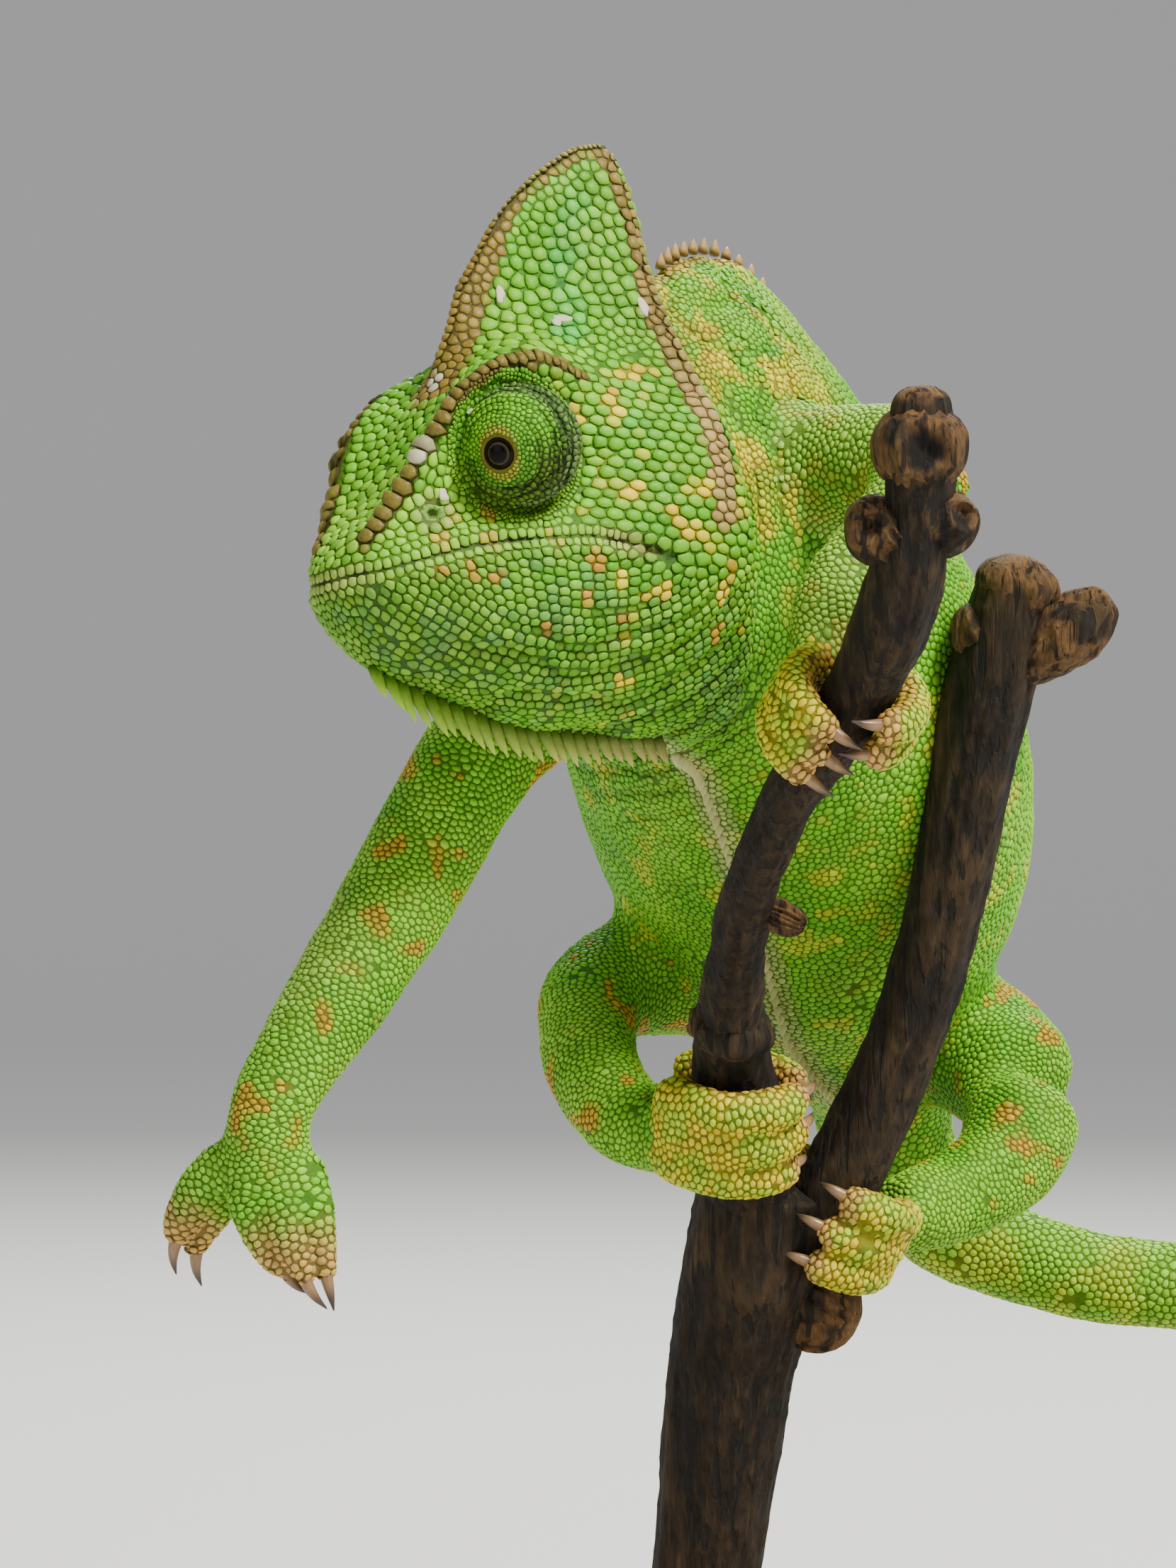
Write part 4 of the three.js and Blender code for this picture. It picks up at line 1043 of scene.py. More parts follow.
def scattered(skin):
    """Roots for the scales, thrown at random on the skin, as many as the spacing asks for."""
    corner = skin["points"][skin["quads"]]
    area = 0.5 * np.linalg.norm(np.cross(corner[:, 2] - corner[:, 0], corner[:, 3] - corner[:, 1]), axis=1)
    radius = skin["radius"][skin["quads"][:, 0]]
    total = np.cumsum(area / (2 * math.sqrt(3) * radius**2))
    pick = np.searchsorted(total, CHANCE.random(int(total[-1])) * total[-1])
    u, v = CHANCE.random((2, len(pick), 1))
    c = corner[pick]
    return (c[:, 0] * (1 - u) + c[:, 1] * u) * (1 - v) + (c[:, 3] * (1 - u) + c[:, 2] * u) * v


def lain(gap, way, longer):
    """Gaps between roots as they count where the scales lie along a way: shrunk along it and stretched across
    it by the square root of how much longer than broad they are."""
    ahead = dots(gap, way)[:, None] * way
    slim = np.sqrt(longer)[:, None]
    return ahead / slim + (gap - ahead) * slim


def spread(points, radius, fixed, skin, rounds):
    """The roots pushed apart until each pair keeps about the sum of its radii; fixed ones stay in place, and
    those on the two sides of a thin edge don't feel each other."""
    reach = 2.6 * radius.max()
    for _ in range(rounds):
        _, normal, vertex = onto_skin(points, skin)
        way, longer = skin["way"][vertex], skin["longer"][vertex]
        i, j, distance = near_pairs(points, points, reach)
        room = radius[i] + radius[j]
        keep = (i != j) & (distance < 1.5 * room) & (dots(normal[i], normal[j]) > 0)
        i, j, room = i[keep], j[keep], room[keep]
        gap = lain(points[i] - points[j], way[i], longer[i])
        distance = lengths(gap)
        push = np.maximum(1.12 - distance / room, 0) * radius[i] / np.maximum(distance, 1e-3)
        move = np.stack([np.bincount(i, push * gap[:, k], len(points)) for k in range(3)], 1)
        length = np.linalg.norm(move, axis=1, keepdims=True)
        move *= np.minimum(1, 0.7 * radius[:, None] / np.maximum(length, 1e-6)) * 0.55
        moved, _, _ = onto_skin(points + move * ~fixed[:, None], skin)
        points = np.where(fixed[:, None], points, moved)
    return points


def uncrowded(points, normal, radius, first):
    """False for each root that one of a firmer kind, or one of its own kind before it, leaves too little room."""
    i, j, distance = near_pairs(points, points, 2 * radius.max())
    ahead = (first[j] < first[i]) | ((first[j] == first[i]) & (j < i))
    alike = dots(normal[i], normal[j]) > 0
    tight = np.where(first[i] == 2, 0.62, 0.45) * (radius[i] + radius[j])
    crowded = (i != j) & (first[i] > 0) & ahead & alike & (distance < tight)
    alone = np.ones(len(points), bool)
    alone[i[crowded]] = False
    return alone


def bowl_of(x, y, lift, i, count):
    """For each root the bowl a x squared + b x y + c y squared that fits its neighbours' lifts best."""
    terms = [x * x, x * y, y * y]
    left = np.stack([np.stack([np.bincount(i, p * q, count) for q in terms], -1) for p in terms], -1)
    right = np.stack([np.bincount(i, p * lift, count) for p in terms], -1)
    size = np.trace(left, axis1=1, axis2=2)[:, None, None]
    return np.linalg.solve(left + (0.02 * size + 1e-6) * np.eye(3), right[..., None])[..., 0]


def cells(roots, show, sides):
    """For each shown root its own axes, the first along the way the scales lie, how long and broad the scale
    is along them, its reach in each of the directions, and the bowl it lies in. The reach ends at the line
    that parts it from each neighbour, at its share of their two radii."""
    places, normals, radius = roots["points"], roots["normals"], roots["radius"]
    own = places[show]
    slim = np.sqrt(roots["longer"][show])
    i, j, distance = near_pairs(own, places, 3.0 * radius.max())
    room = radius[show][i] + radius[j]
    alike = dots(normals[show][i], normals[j]) > -0.2
    keep = (distance > 1e-6) & (distance < 1.65 * room * slim[i]) & alike
    i, j, distance, room = i[keep], j[keep], distance[keep], room[keep]
    n = normals[show]
    u = unit(roots["way"][show] - n * dots(roots["way"][show], n)[:, None])
    v = np.cross(n, u)
    gap = places[j] - own[i]
    x, y, lift = (dots(gap, way[i]) for way in (u, v, n))
    stretch = distance / np.maximum(np.hypot(x, y), 1e-6)
    bowl = bowl_of(x * stretch, y * stretch, lift, i, len(own))
    x, y = x * stretch / slim[i], y * stretch * slim[i]
    angle = full_turn(sides)
    toward = x[:, None] * np.cos(angle) + y[:, None] * np.sin(angle)
    part = (radius[show][i] / room * (x * x + y * y))[:, None]
    edge = np.where(toward > 0.02, part / np.maximum(toward, 0.02), 99)
    reach = np.full((len(own), sides), 99.0)
    which, first = np.unique(i, return_index=True)
    reach[which] = np.minimum.reduceat(edge, first, axis=0)
    reach = np.minimum(reach, 1.4 * radius[show][:, None]) - GROOVE / 2
    reach = np.maximum(reach, 0.25 * radius[show][:, None])
    return u, v, n, slim, reach, angle, bowl


FULL_DOME = ((1.0, -0.3), (0.87, 0.5), (0.5, 0.9))  # share of the reach, share of the height
LOW_DOME = ((1.0, -0.35), (0.82, 0.62))
PATCH = 0.003  # width of a scale's own patch on the unwrap


def add_scales(name, roots, show, material, slot, dome=LOW_DOME, sides=7):
    """One piece of closed domes. Each is a few rings round its root, from just under the skin up to its top,
    with its floor closed."""
    u, v, n, slim, reach, angle, bowl = cells(roots, show, sides)
    height = roots["height"][show]
    rings, edge = [], []
    for share, rise in dome:
        x, y = reach * share * np.cos(angle) * slim[:, None], reach * share * np.sin(angle) / slim[:, None]
        z = bowl[:, :1] * x * x + bowl[:, 1:2] * x * y + bowl[:, 2:] * y * y + rise * height[:, None]
        rings.append(np.stack([x, y, z], -1))
        # rim: 1 and more at the floor ring, 0 from the middle ring up; the finish paints shade in the groove by it
        edge.append(np.full(sides, max(0.0, 1 - 2.4 * rise)))
    rings.append(np.stack([0 * height, 0 * height, height], -1)[:, None])
    edge.append(np.zeros(1))
    local = np.concatenate(rings, axis=1)
    count, each = local.shape[:2]
    places = roots["points"][show][:, None]
    places = places + sum(local[..., k : k + 1] * way[:, None] for k, way in enumerate((u, v, n)))
    faces = pointed_faces(count, len(dome), sides)
    tone = np.repeat(roots["tone"][show], each, axis=0)
    rim = np.tile(np.concatenate(edge), count)
    made = piece(name, places.reshape(-1, 3), faces, material, slot, tone=tone, rim=rim)
    spot = local[..., :2] / (2 * reach.max(axis=1)[:, None, None]) * PATCH
    patch = (roots["uv"][show][:, None] + spot).reshape(-1, 2)
    corner = np.empty(len(made.data.loops), np.int32)
    made.data.loops.foreach_get("vertex_index", corner)
    layer = made.data.uv_layers.new(name="OFBake")
    layer.data.foreach_set("uv", patch[corner].astype(np.float32).ravel())
    return made


def unwrap(made):
    """The corners' places on an unwrap of the piece's own shape, by Blender's smart projection."""
    bpy.context.view_layer.objects.active = made
    made.select_set(True)
    bpy.ops.object.mode_set(mode="EDIT")
    bpy.ops.mesh.select_all(action="SELECT")
    bpy.ops.uv.smart_project(angle_limit=math.radians(66), island_margin=0.002)
    bpy.ops.object.mode_set(mode="OBJECT")
    made.select_set(False)
    layer = made.data.uv_layers.active
    flat = np.empty(len(layer.data) * 2, np.float32)
    layer.data.foreach_get("uv", flat)
    return flat.reshape(-1, 4, 2).astype(float)


def unwrapped_at(points, places, quads, corner_uv):
    """Where points on a surface lie on its unwrap: the nearest face's, moved along its two first edges."""
    face = np.maximum(nearest(points, places[quads].mean(1), 2.0), 0)
    corner, uv = places[quads[face]], corner_uv[face]
    a, b = corner[:, 1] - corner[:, 0], corner[:, 3] - corner[:, 0]
    gap = points - corner[:, 0]
    aa, ab, bb, ga, gb = dots(a, a), dots(a, b), dots(b, b), dots(gap, a), dots(gap, b)
    size = np.maximum(aa * bb - ab * ab, 1e-9)
    s, t = np.clip([(ga * bb - gb * ab) / size, (gb * aa - ga * ab) / size], -1, 2)
    return uv[:, 0] + s[:, None] * (uv[:, 1] - uv[:, 0]) + t[:, None] * (uv[:, 3] - uv[:, 0])


# ---- Rows of scales that have a place of their own on the head ----


def strung(line, radius, step_size):
    """Places along a line, each step_size radii from the next. radius is a function of share 0 to 1."""
    share = np.linspace(0, 1, 400)
    dense = line(share)
    step = lengths(np.diff(dense, axis=0))
    used = np.concatenate([[0], np.cumsum(step / (step_size * radius(share[1:])))])
    spots = np.interp(np.arange(0.5, used[-1]), used, share)
    return line(spots), radius(spots)


def both_sides(line):
    """A line on the head's left side, and its mirror image on the right."""
    return [line, lambda t: line(t) * (1, -1, 1)]


def leant(x, y, z):
    """A place of the head's named curves, with the casque's lean back."""
    return np.stack([x - casque_lean(x, z), y, z], -1)


def round_the_mouth(lift):
    """The line from one corner of the mouth round the snout to the other, moved up by lift."""
    def line(t):
        run = 2 * t - 1
        x = 22.2 - 31.5 * np.abs(run) ** 1.25
        y = np.sign(run) * HEAD["lip"](x) * np.minimum(1, (np.abs(run) / 0.16)) ** 0.7
        return np.stack([x, y, MOUTH_LINE(x) + lift], -1)
    return line


def brow_line(t):
    """Along the brow's ridge, evenly from the snout back."""
    x = 18.6 - 30 * t
    return np.stack([x, HEAD["ridge"](x), HEAD["ridgeZ"](x)], -1)


def crest_line(t):
    """Along the casque's top edge, evenly from between the eyes to its rear."""
    x = 1.2 - 31.2 * t
    return leant(x, 0 * x, HEAD["top"](x))


teal_line = path([[-22.9, 2, 25], [-20.3, 2.1, 22.4], [-18.1, 2.7, 18.5], [-16.2, 3.8, 14.6], [-14.4, 5.2, 11]])
casque_edge = path([[-30, 0.5, 30.4], [-30.4, 1.3, 27.5], [-30, 2.2, 24.1], [-29.4, 3.1, 19.8], [-28.1, 5, 14.9],
                    [-27.5, 6.6, 10.8], [-27.2, 8, 7.7], [-26.9, 9.5, 4.1], [-26.6, 11.3, 0.6],
                    [-26.2, 12.6, -2.2], [-25.6, 13.5, -5.4], [-24.8, 14, -8.6], [-23.8, 14.2, -11.5]])


def round_about(centre, away):
    """A circle about a place, upright and along the head's length."""
    def line(t):
        place = np.tile(np.array(centre, float), (len(t), 1))
        place[:, 0] += away * np.cos(2 * np.pi * t)
        place[:, 2] += away * np.sin(2 * np.pi * t)
        return place
    return line


def head_rows():
    """Each row as (line in the head's frame, radius along it, step and height in radii, whether it shows)."""
    level = lambda radius: evenly([radius, radius])
    yield crest_line, evenly([0.66, 0.6, 0.56, 0.56, 0.56, 0.5]), 1.7, 0.42, True
    for line in both_sides(brow_line):
        yield line, evenly([1.0, 1.3, 1.4, 1.3, 1.15, 1.05, 1.0, 0.95, 0.85, 0.7]), 1.3, 0.36, True
    for line in both_sides(casque_edge):
        yield line, evenly([0.5, 0.6, 0.7, 0.8, 0.9, 0.95, 0.95, 0.9, 0.8]), 1.7, 0.42, True
    for line in both_sides(lambda t: casque_edge(0.3 + 0.62 * t) + (1.7, 0.3, 0)):
        yield line, evenly([0.6, 0.85, 0.95, 0.9, 0.7]), 1.7, 0.4, True
    lips = evenly([0.45, 0.6, 0.66, 0.64, 0.6, 0.64, 0.66, 0.6, 0.45])
    yield round_the_mouth(0.6), lips, 1.75, 0.36, True
    yield round_the_mouth(-0.6), lips, 1.75, 0.36, True
    yield round_the_mouth(0.0), level(0.06), 1.8, 0, False
    for away, radius in ((6.95, 0.27), (7.5, 0.29), (8.1, 0.33)):
        for line in both_sides(round_about(EYE_AT, away)):
            yield line, level(radius), 1.76, 0.45, True
    for away in (0.5, 1.2):
        for line in both_sides(round_about(NOSTRIL, away)):
            yield line, level(0.3), 1.76, 0, False


# ======== Finishes ========


class Value:
    """A socket that takes part in arithmetic: each operator adds its Math node."""

    def __init__(self, finish, socket):
        self.finish, self.socket = finish, socket

    def _with(self, operation, first, second):
        return self.finish.node("ShaderNodeMath", {"operation": operation}, {0: first, 1: second})

    def __add__(self, other):
        return self._with("ADD", self, other)

    def __rsub__(self, other):
        return self._with("SUBTRACT", other, self)

    def __mul__(self, other):
        return self._with("MULTIPLY", self, other)


class Finish:
    """A material under construction. Its surface is a Principled shader."""

    def __init__(self, name, **constants):
        self.material = bpy.data.materials.new(name)
        self.material.use_nodes = True
        self.tree = self.material.node_tree
        self.shader = next(node for node in self.tree.nodes if node.type == "BSDF_PRINCIPLED")
        for socket, value in constants.items():
            self.shader.inputs[socket.replace("_", " ")].default_value = value

    def node(self, kind, settings=None, inputs=None, output=0):
        """A new node: its settings first, then the values or links of its sockets."""
        made = self.tree.nodes.new(kind)
        for key, value in (settings or {}).items():
            if key == "stops":
                self._set_stops(made.color_ramp, value)
            else:
                setattr(made, key, value)
        for key, value in (inputs or {}).items():
            self.join(made.inputs[key], value)
        return Value(self, made.outputs[output])

    def _set_stops(self, ramp, stops):
        for _ in range(len(stops) - len(ramp.elements)):
            ramp.elements.new(1.0)
        for element, (place, colour) in zip(ramp.elements, stops):
            element.position = place
            element.color = (*colour, 1)

    def join(self, socket, value):
        if isinstance(value, Value):
            self.tree.links.new(value.socket, socket)
        elif isinstance(value, (tuple, list, np.ndarray)):
            socket.default_value = (*value, 1) if socket.type == "RGBA" else tuple(value)
        else:
            socket.default_value = value

    def place(self, scale=(1, 1, 1)):
        """Object coordinates, stretched by a scale."""
        where = self.node("ShaderNodeTexCoord", output="Object")
        return self.node("ShaderNodeMapping", None, {"Vector": where, "Scale": scale})

    def noise(self, size, detail=3.0, roughness=0.55, stretch=(1, 1, 1), distortion=0.0):
        """Noise from 0 to 1 whose features are size millimetres wide."""
        return self.node("ShaderNodeTexNoise", None, {
            "Vector": self.place(stretch), "Scale": 1 / (size * MM), "Detail": detail,
            "Roughness": roughness, "Distortion": distortion}, "Fac")

    def grains(self, size):
        """Distance to the nearest of scattered points, size millimetres apart."""
        links = {"Vector": self.place(), "Scale": 1 / (size * MM)}
        return self.node("ShaderNodeTexVoronoi", None, links, "Distance")

    def attribute(self, name, output="Fac"):
        return self.node("ShaderNodeAttribute", {"attribute_name": name}, None, output)

    def between(self, value, low, high, to_low=0.0, to_high=1.0):
        """The value carried from one range to another, held within it."""
        return self.node("ShaderNodeMapRange", {"clamp": True}, {
            "Value": value, "From Min": low, "From Max": high, "To Min": to_low, "To Max": to_high})

    def mix(self, factor, one, other, blend="MIX"):
        """Two colours mixed by a factor."""
        return self.node("ShaderNodeMix", {"data_type": "RGBA", "blend_type": blend}, {
            0: factor, 6: one, 7: other}, 2)

    def ramp(self, value, *stops):
        return self.node("ShaderNodeValToRGB", {"stops": stops}, {"Fac": value}, "Color")

    def bump(self, height, depth, strength):
        """Raised by a height from 0 to 1 times depth millimetres."""
        links = {"Height": height, "Distance": depth * MM, "Strength": strength}
        return self.node("ShaderNodeBump", None, links, "Normal")

    def done(self, colour, roughness, normal=None, **others):
        for socket, value in {"Base Color": colour, "Roughness": roughness, "Normal": normal, **others}.items():
            if value is not None:
                self.join(self.shader.inputs[socket], value)
        return self.material


def scale_finish(name, shine, glow, groove):
    """Horny scales: each its own tone, mottled, darker towards the rim as painted shade in the groove, with a fine
    pitted grain.
    """
    f = Finish(name, Specular_IOR_Level=0.2, Subsurface_Weight=glow, Subsurface_Radius=(0.6, 0.9, 0.15),
               Subsurface_Scale=0.0012)
    tone = f.attribute("tone", "Color")
    rim = f.attribute("rim")
    mottle = f.noise(0.55, 3)
    cloud = f.noise(6.5, 2)
    light = f.mix(f.between(mottle, 0.4, 0.75, 0.0, 0.14), tone, (0.45, 0.72, 0.05))
    shade = f.mix(f.between(cloud, 0.3, 0.7, 0.0, 0.25), light, (0.30, 0.42, 0.10), "MULTIPLY")
    # painted shade: darker towards each scale's rim, where it sinks into the groove between scales
    wear_and_groove_shade = f.mix(f.between(rim, 0.0, 1.0, 0.0, groove), shade, (0.12, 0.16, 0.03), "MULTIPLY")
    grain = f.noise(0.22, 2, 0.6)
    rough = f.between(grain, 0.3, 0.75, shine, shine + 0.2) + rim * 0.2
    return f.done(wear_and_groove_shade, rough, f.bump(grain, 0.05, 0.7))


def bare_skin_finish():
    """The skin between the scales: the same markings much darker, as painted shade in the grooves between the
    scales, finely granular.
    """
    f = Finish("bare_skin", Specular_IOR_Level=0.25)
    tone = f.attribute("tone", "Color")
    # painted shade: the bare skin shows in the grooves between the scales and is darkened as shade there
    dark = f.mix(0.8, tone, (0.16, 0.20, 0.05), "MULTIPLY")
    fine = f.mix(f.between(f.noise(1.4, 3), 0.35, 0.7, 0.0, 0.4), dark, (0.02, 0.03, 0.006))
    grain = f.grains(0.42)
    return f.done(fine, f.between(grain, 0.0, 0.6, 0.5, 0.75), f.bump(grain, 0.08, 0.8))


def eyeball_finish():
    """A wet black ball, with a thin ring of gold iris round the pupil."""
    f = Finish("eyeball", Specular_IOR_Level=0.14, IOR=1.38)
    ring = f.attribute("tone", "Color")
    fleck = f.between(f.noise(0.18, 3), 0.4, 0.7, 0.0, 0.4)
    return f.done(f.mix(fleck, ring, (0.004, 0.003, 0.002)), f.between(fleck, 0, 1, 0.05, 0.12))


def horn_finish():
    """Claw horn: brown and grey along its length, with faint lengthwise streaks."""
    f = Finish("claw_horn", Specular_IOR_Level=0.55)
    tip = f.attribute("tone", "Color")
    streak = f.noise(0.5, 4, stretch=(1, 1, 0.25))
    return f.done(f.mix(f.between(streak, 0.3, 0.7, 0.0, 0.5), tip, (0.07, 0.06, 0.045)),
                  f.between(streak, 0.2, 0.8, 0.25, 0.42), f.bump(streak, 0.05, 0.6))


def bark_finish():
    """Dry bark: dark brown, paler along its ridges and near black deep in its furrows as painted shade, with fine
    cracks, scuffs and darker patches.
    """
    f = Finish("bark", Specular_IOR_Level=0.3)
    ridge = f.attribute("ridge")
    long_grain = f.noise(0.8, 6, 0.7, (1, 1, 0.11), 0.4)
    fine = f.noise(0.45, 4, 0.6, (1, 1, 0.3))
    base = f.ramp(long_grain, (0.30, (0.004, 0.0025, 0.001)), (0.5, (0.020, 0.011, 0.003)),
                  (0.64, (0.048, 0.029, 0.010)), (0.82, (0.12, 0.078, 0.030)))
    pale = f.mix(f.between(ridge, 0.5, 0.9, 0.0, 0.3), base, (0.15, 0.088, 0.03))
    # painted shade: near black where the bark lies lowest, deep in its furrows and in the leaf scars' dents
    pale = f.mix(f.between(ridge, 0.05, 0.3, 0.95, 0.0), pale, (0.006, 0.004, 0.002))
    patches = f.between(f.noise(9.0, 4, 0.7, (1, 1, 0.5)), 0.40, 0.62, 0.0, 0.75)
    shaded = f.mix(patches, pale, (0.16, 0.12, 0.08), "MULTIPLY")
    wear_and_groove_shade = f.mix(f.attribute("cut"), shaded, f.ramp(fine, (0.3, (0.05, 0.025, 0.008)), (0.7, (0.26, 0.13, 0.04))))
    cracks = f.between(f.noise(1.1, 3, 0.5, (1, 1, 0.07), 0.3), 0.40, 0.47)
    dark = f.mix((1 - cracks) * 0.85, wear_and_groove_shade, (0.004, 0.003, 0.002))
    height = long_grain * 0.6 + fine * 0.25 + cracks * 0.35
    return f.done(dark, f.between(fine, 0.3, 0.7, 0.66, 0.9), f.bump(height, 0.7, 0.9))


def stand_wood_finish():
    """Oiled oak: rings cut lengthwise, pores along the grain, and a satin sheen."""
    f = Finish("oiled_oak", Specular_IOR_Level=0.45, Coat_Roughness=0.25)
    bend = f.noise(60, 2, 0.5, (0.35, 1, 1))
    where = f.place((1, 9, 9))
    lines = f.node("ShaderNodeTexWave", {"wave_type": "BANDS", "bands_direction": "Y"}, {
        "Vector": where, "Scale": 14.0, "Distortion": 4.0, "Detail": 3.0, "Detail Scale": 1.2}, "Fac")
    pores = f.between(f.noise(0.9, 3, 0.6, (0.06, 1, 1)), 0.58, 0.68)
    colour = f.ramp(lines * 0.5 + bend * 0.5, (0.2, (0.16, 0.085, 0.04)), (0.5, (0.30, 0.18, 0.09)),
                    (0.8, (0.42, 0.27, 0.14)))
    dark = f.mix(pores * 0.6, colour, (0.06, 0.03, 0.015))
    height = lines * 0.3 + (1 - pores) * 0.7
    return f.done(dark, f.between(lines, 0, 1, 0.38, 0.52), f.bump(height, 0.08, 0.6))


def stand_metal_finish():
    """Black lacquered steel, a little orange-peel and worn at random."""
    f = Finish("black_lacquer", Specular_IOR_Level=0.5)
    peel = f.noise(0.8, 2)
    wear = f.between(f.noise(3.0, 5, 0.7), 0.64, 0.72)
    return f.done(f.mix(wear * 0.5, (0.018, 0.018, 0.02), (0.16, 0.155, 0.15)),
                  f.between(peel, 0.3, 0.7, 0.28, 0.40), f.bump(peel, 0.04, 0.5), Metallic=wear * 0.5)


def floor_finish():
    """Matt pale paper."""
    f = Finish("pale_paper", Specular_IOR_Level=0.2)
    tooth = f.noise(1.2, 3)
    return f.done(f.mix(f.between(tooth, 0.3, 0.7, 0.0, 0.05), (0.80, 0.80, 0.79), (0.72, 0.72, 0.71)), 0.85,
                  f.bump(tooth, 0.05, 0.3))


# ======== The skin and its coat ========
SCALES = scale_finish("head_scales", 0.36, 0.08, 0.9)
BODY_SCALES = scale_finish("body_scales", 0.42, 0.08, 0.62)
SKIN = bare_skin_finish()
FLESH_NODES = [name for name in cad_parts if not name.startswith(("eye", "perch", "stand"))]

points, quads, part, normals = make_skin()
way, longer = lie_of(points, normals, part)
skin = {"points": points, "quads": quads, "part": part, "normals": normals, "radius": scale_radius(points, part),
        "way": way, "longer": longer}
skin_piece = piece("skin", points, [quads], SKIN, "skin", FLESH_NODES, tone=markings_and_painted_shade(points, part))
corner_uv = unwrap(skin_piece)


def head_roots():
    """The rows of the head, still off the skin: places, radii, heights and whether each shows."""
    rows = []
    for line, radius, step_size, height, shown in head_rows():
        places, radii = strung(line, radius, step_size)
        rows.append((from_head(places), radii, radii * height, np.full(len(radii), shown)))
    return [np.concatenate(column) for column in zip(*rows)]


def evened(values, width=13):
    """A row of values with each replaced by the mean of those about it."""
    around = np.pad(values, ((width // 2, width // 2), (0, 0)), "edge")
    return np.stack([np.convolve(column, np.ones(width) / width, "valid") for column in around.T], -1)


LARGE_SHARE, LARGE_SIZE = 0.05, 1.45  # of the loose scales on trunk and legs
LOOSE_SIZES, SEED_SIZES = (0.93, 1.06), (0.84, 1.16)
HEIGHTS, HEAD_HEIGHT = (0.28, 0.38), 1.45  # a scale's height in radii, and how much more it is on the head
CASQUE_FOOT = 13  # above this the crest's flanks are clear of the brow
OFF_SKIN = 0.72  # a root further from the skin's nearest vertex shows no scale


def loose_roots():
    """Roots thrown at random where no rows lie, and their radii: a few on trunk and legs are large."""
    loose = scattered(skin)
    part = skin["part"][np.maximum(nearest(loose, skin["points"], 2.0), 0)]
    turned = onto_skin(loose, skin)[1] @ HEAD_WAYS.T
    rest = (in_rows(to_head(loose), part) == 0) | (np.abs(turned[:, 1]) < 0.35)
    loose, part = loose[rest], part[rest]
    radius = scale_radius(loose, part)
    large = is_in(part, "trunk", *LIMBS) & (CHANCE.random(len(loose)) < LARGE_SHARE)
    return loose, np.where(large, radius * LARGE_SIZE, radius * CHANCE.uniform(*LOOSE_SIZES, len(loose)))


def each_own_tone(points, part):
    """The markings and painted shade, with every scale a little lighter, darker or of another green than its
    neighbours.
    """
    tone = markings_and_painted_shade(points, part)
    tone = tone * CHANCE.normal(1, 0.12, (len(tone), 1)) * CHANCE.normal(1, 0.04, (len(tone), 3))
    green = is_in(part, "head") * smooth_step(1.3, 2.2, tone[:, 1] / np.maximum(tone[:, 0], 1e-3))
    tone = tinted(tone, LEAF * 0.8, 0.6 * green * CHANCE.random(len(tone)) ** 2)
    tone = tinted(tone, PALE_GREEN, 0.5 * green * CHANCE.random(len(tone)) ** 3)
    return np.clip(tinted(tone, WHITISH, pale_knobs(points, part)), 0, 1)


def past_crest(points, crest, normal):
    """True for the roots of the casque's flanks that stand out past the crest's chain of scales."""
    link = nearest(points, crest, 2.5)
    above = dots(points - crest[link], normal[link])
    return (link >= 0) & (above > -0.2) & (to_head(points)[:, 2] > CASQUE_FOOT)


def coat_roots():
    """All roots on the skin, with their radius, height, tone, lie and place on the unwrap. Rows stay where they
    are, seeds laid in rows give way to those, and loose ones to both."""
    drop, row_radius, row_height, shown = head_roots()
    rows, _, _ = onto_skin(drop, skin, 4.0)
    rows, _, vertex = onto_skin(rows, skin, 4.0)
    chain = len(strung(*next(head_rows())[:3])[0])
    rows[:chain] = drop[:chain] + evened(rows[:chain] - drop[:chain])
    good = vertex >= 0
    rows, row_radius, row_height, shown = (a[good] for a in (rows, row_radius, row_height, shown))
    count = len(rows)
    seeds = rows_of_seeds(skin)
    loose, loose_radius = loose_roots()
    seed_radius = scale_radius(seeds, np.zeros(len(seeds), int)) * CHANCE.uniform(*SEED_SIZES, len(seeds))
    points = np.vstack([rows, seeds, loose])
    radius = np.concatenate([row_radius, seed_radius, loose_radius])
    kind = np.repeat([0, 1, 2], [count, len(seeds), len(loose)])
    keep = uncrowded(points, onto_skin(points, skin)[1], radius, np.minimum(kind, 1)) | (kind == 2)
    points, radius, kind = points[keep], radius[keep], kind[keep]
    points = spread(points, radius, kind < 2, skin, 6)
    keep = uncrowded(points, onto_skin(points, skin)[1], radius, kind)
    points, radius, kind = points[keep], radius[keep], kind[keep]
    points = spread(points, radius, kind < 1, skin, 9)
    points, normal, vertex = onto_skin(points, skin, 3.0)
    off = lengths(points - skin["points"][vertex])
    points[:chain], normal[:chain] = rows[:chain], unit(evened(normal[:chain]))
    part = skin["part"][vertex]
    on_head = is_in(part, "head")
    place = to_head(points)
    height = radius * CHANCE.uniform(*HEIGHTS, len(radius)) * np.where(on_head, HEAD_HEIGHT, 1.0)
    height *= 1 - 0.45 * smooth_step(4.4, 3.4, from_line(place, crest_line, 5.0)) * on_head
    height[:count] = row_height
    visible = off < OFF_SKIN
    visible[:count] &= shown
    visible[:chain] = np.arange(chain) < chain - 4
    visible[count:] &= ~past_crest(points[count:], points[:chain], normal)
    visible &= ~((from_pair(place, EYE_AT) < EYE_RADIUS + 0.15) & on_head)
    longer = skin["longer"][vertex]
    longer[:count] = 1.0
    return {"points": points, "normals": normal, "radius": radius, "height": height, "show": visible,
            "tone": each_own_tone(points, part), "part": part, "way": skin["way"][vertex], "longer": longer,
            "uv": unwrapped_at(points, skin["points"], skin["quads"], corner_uv)}


roots = coat_roots()


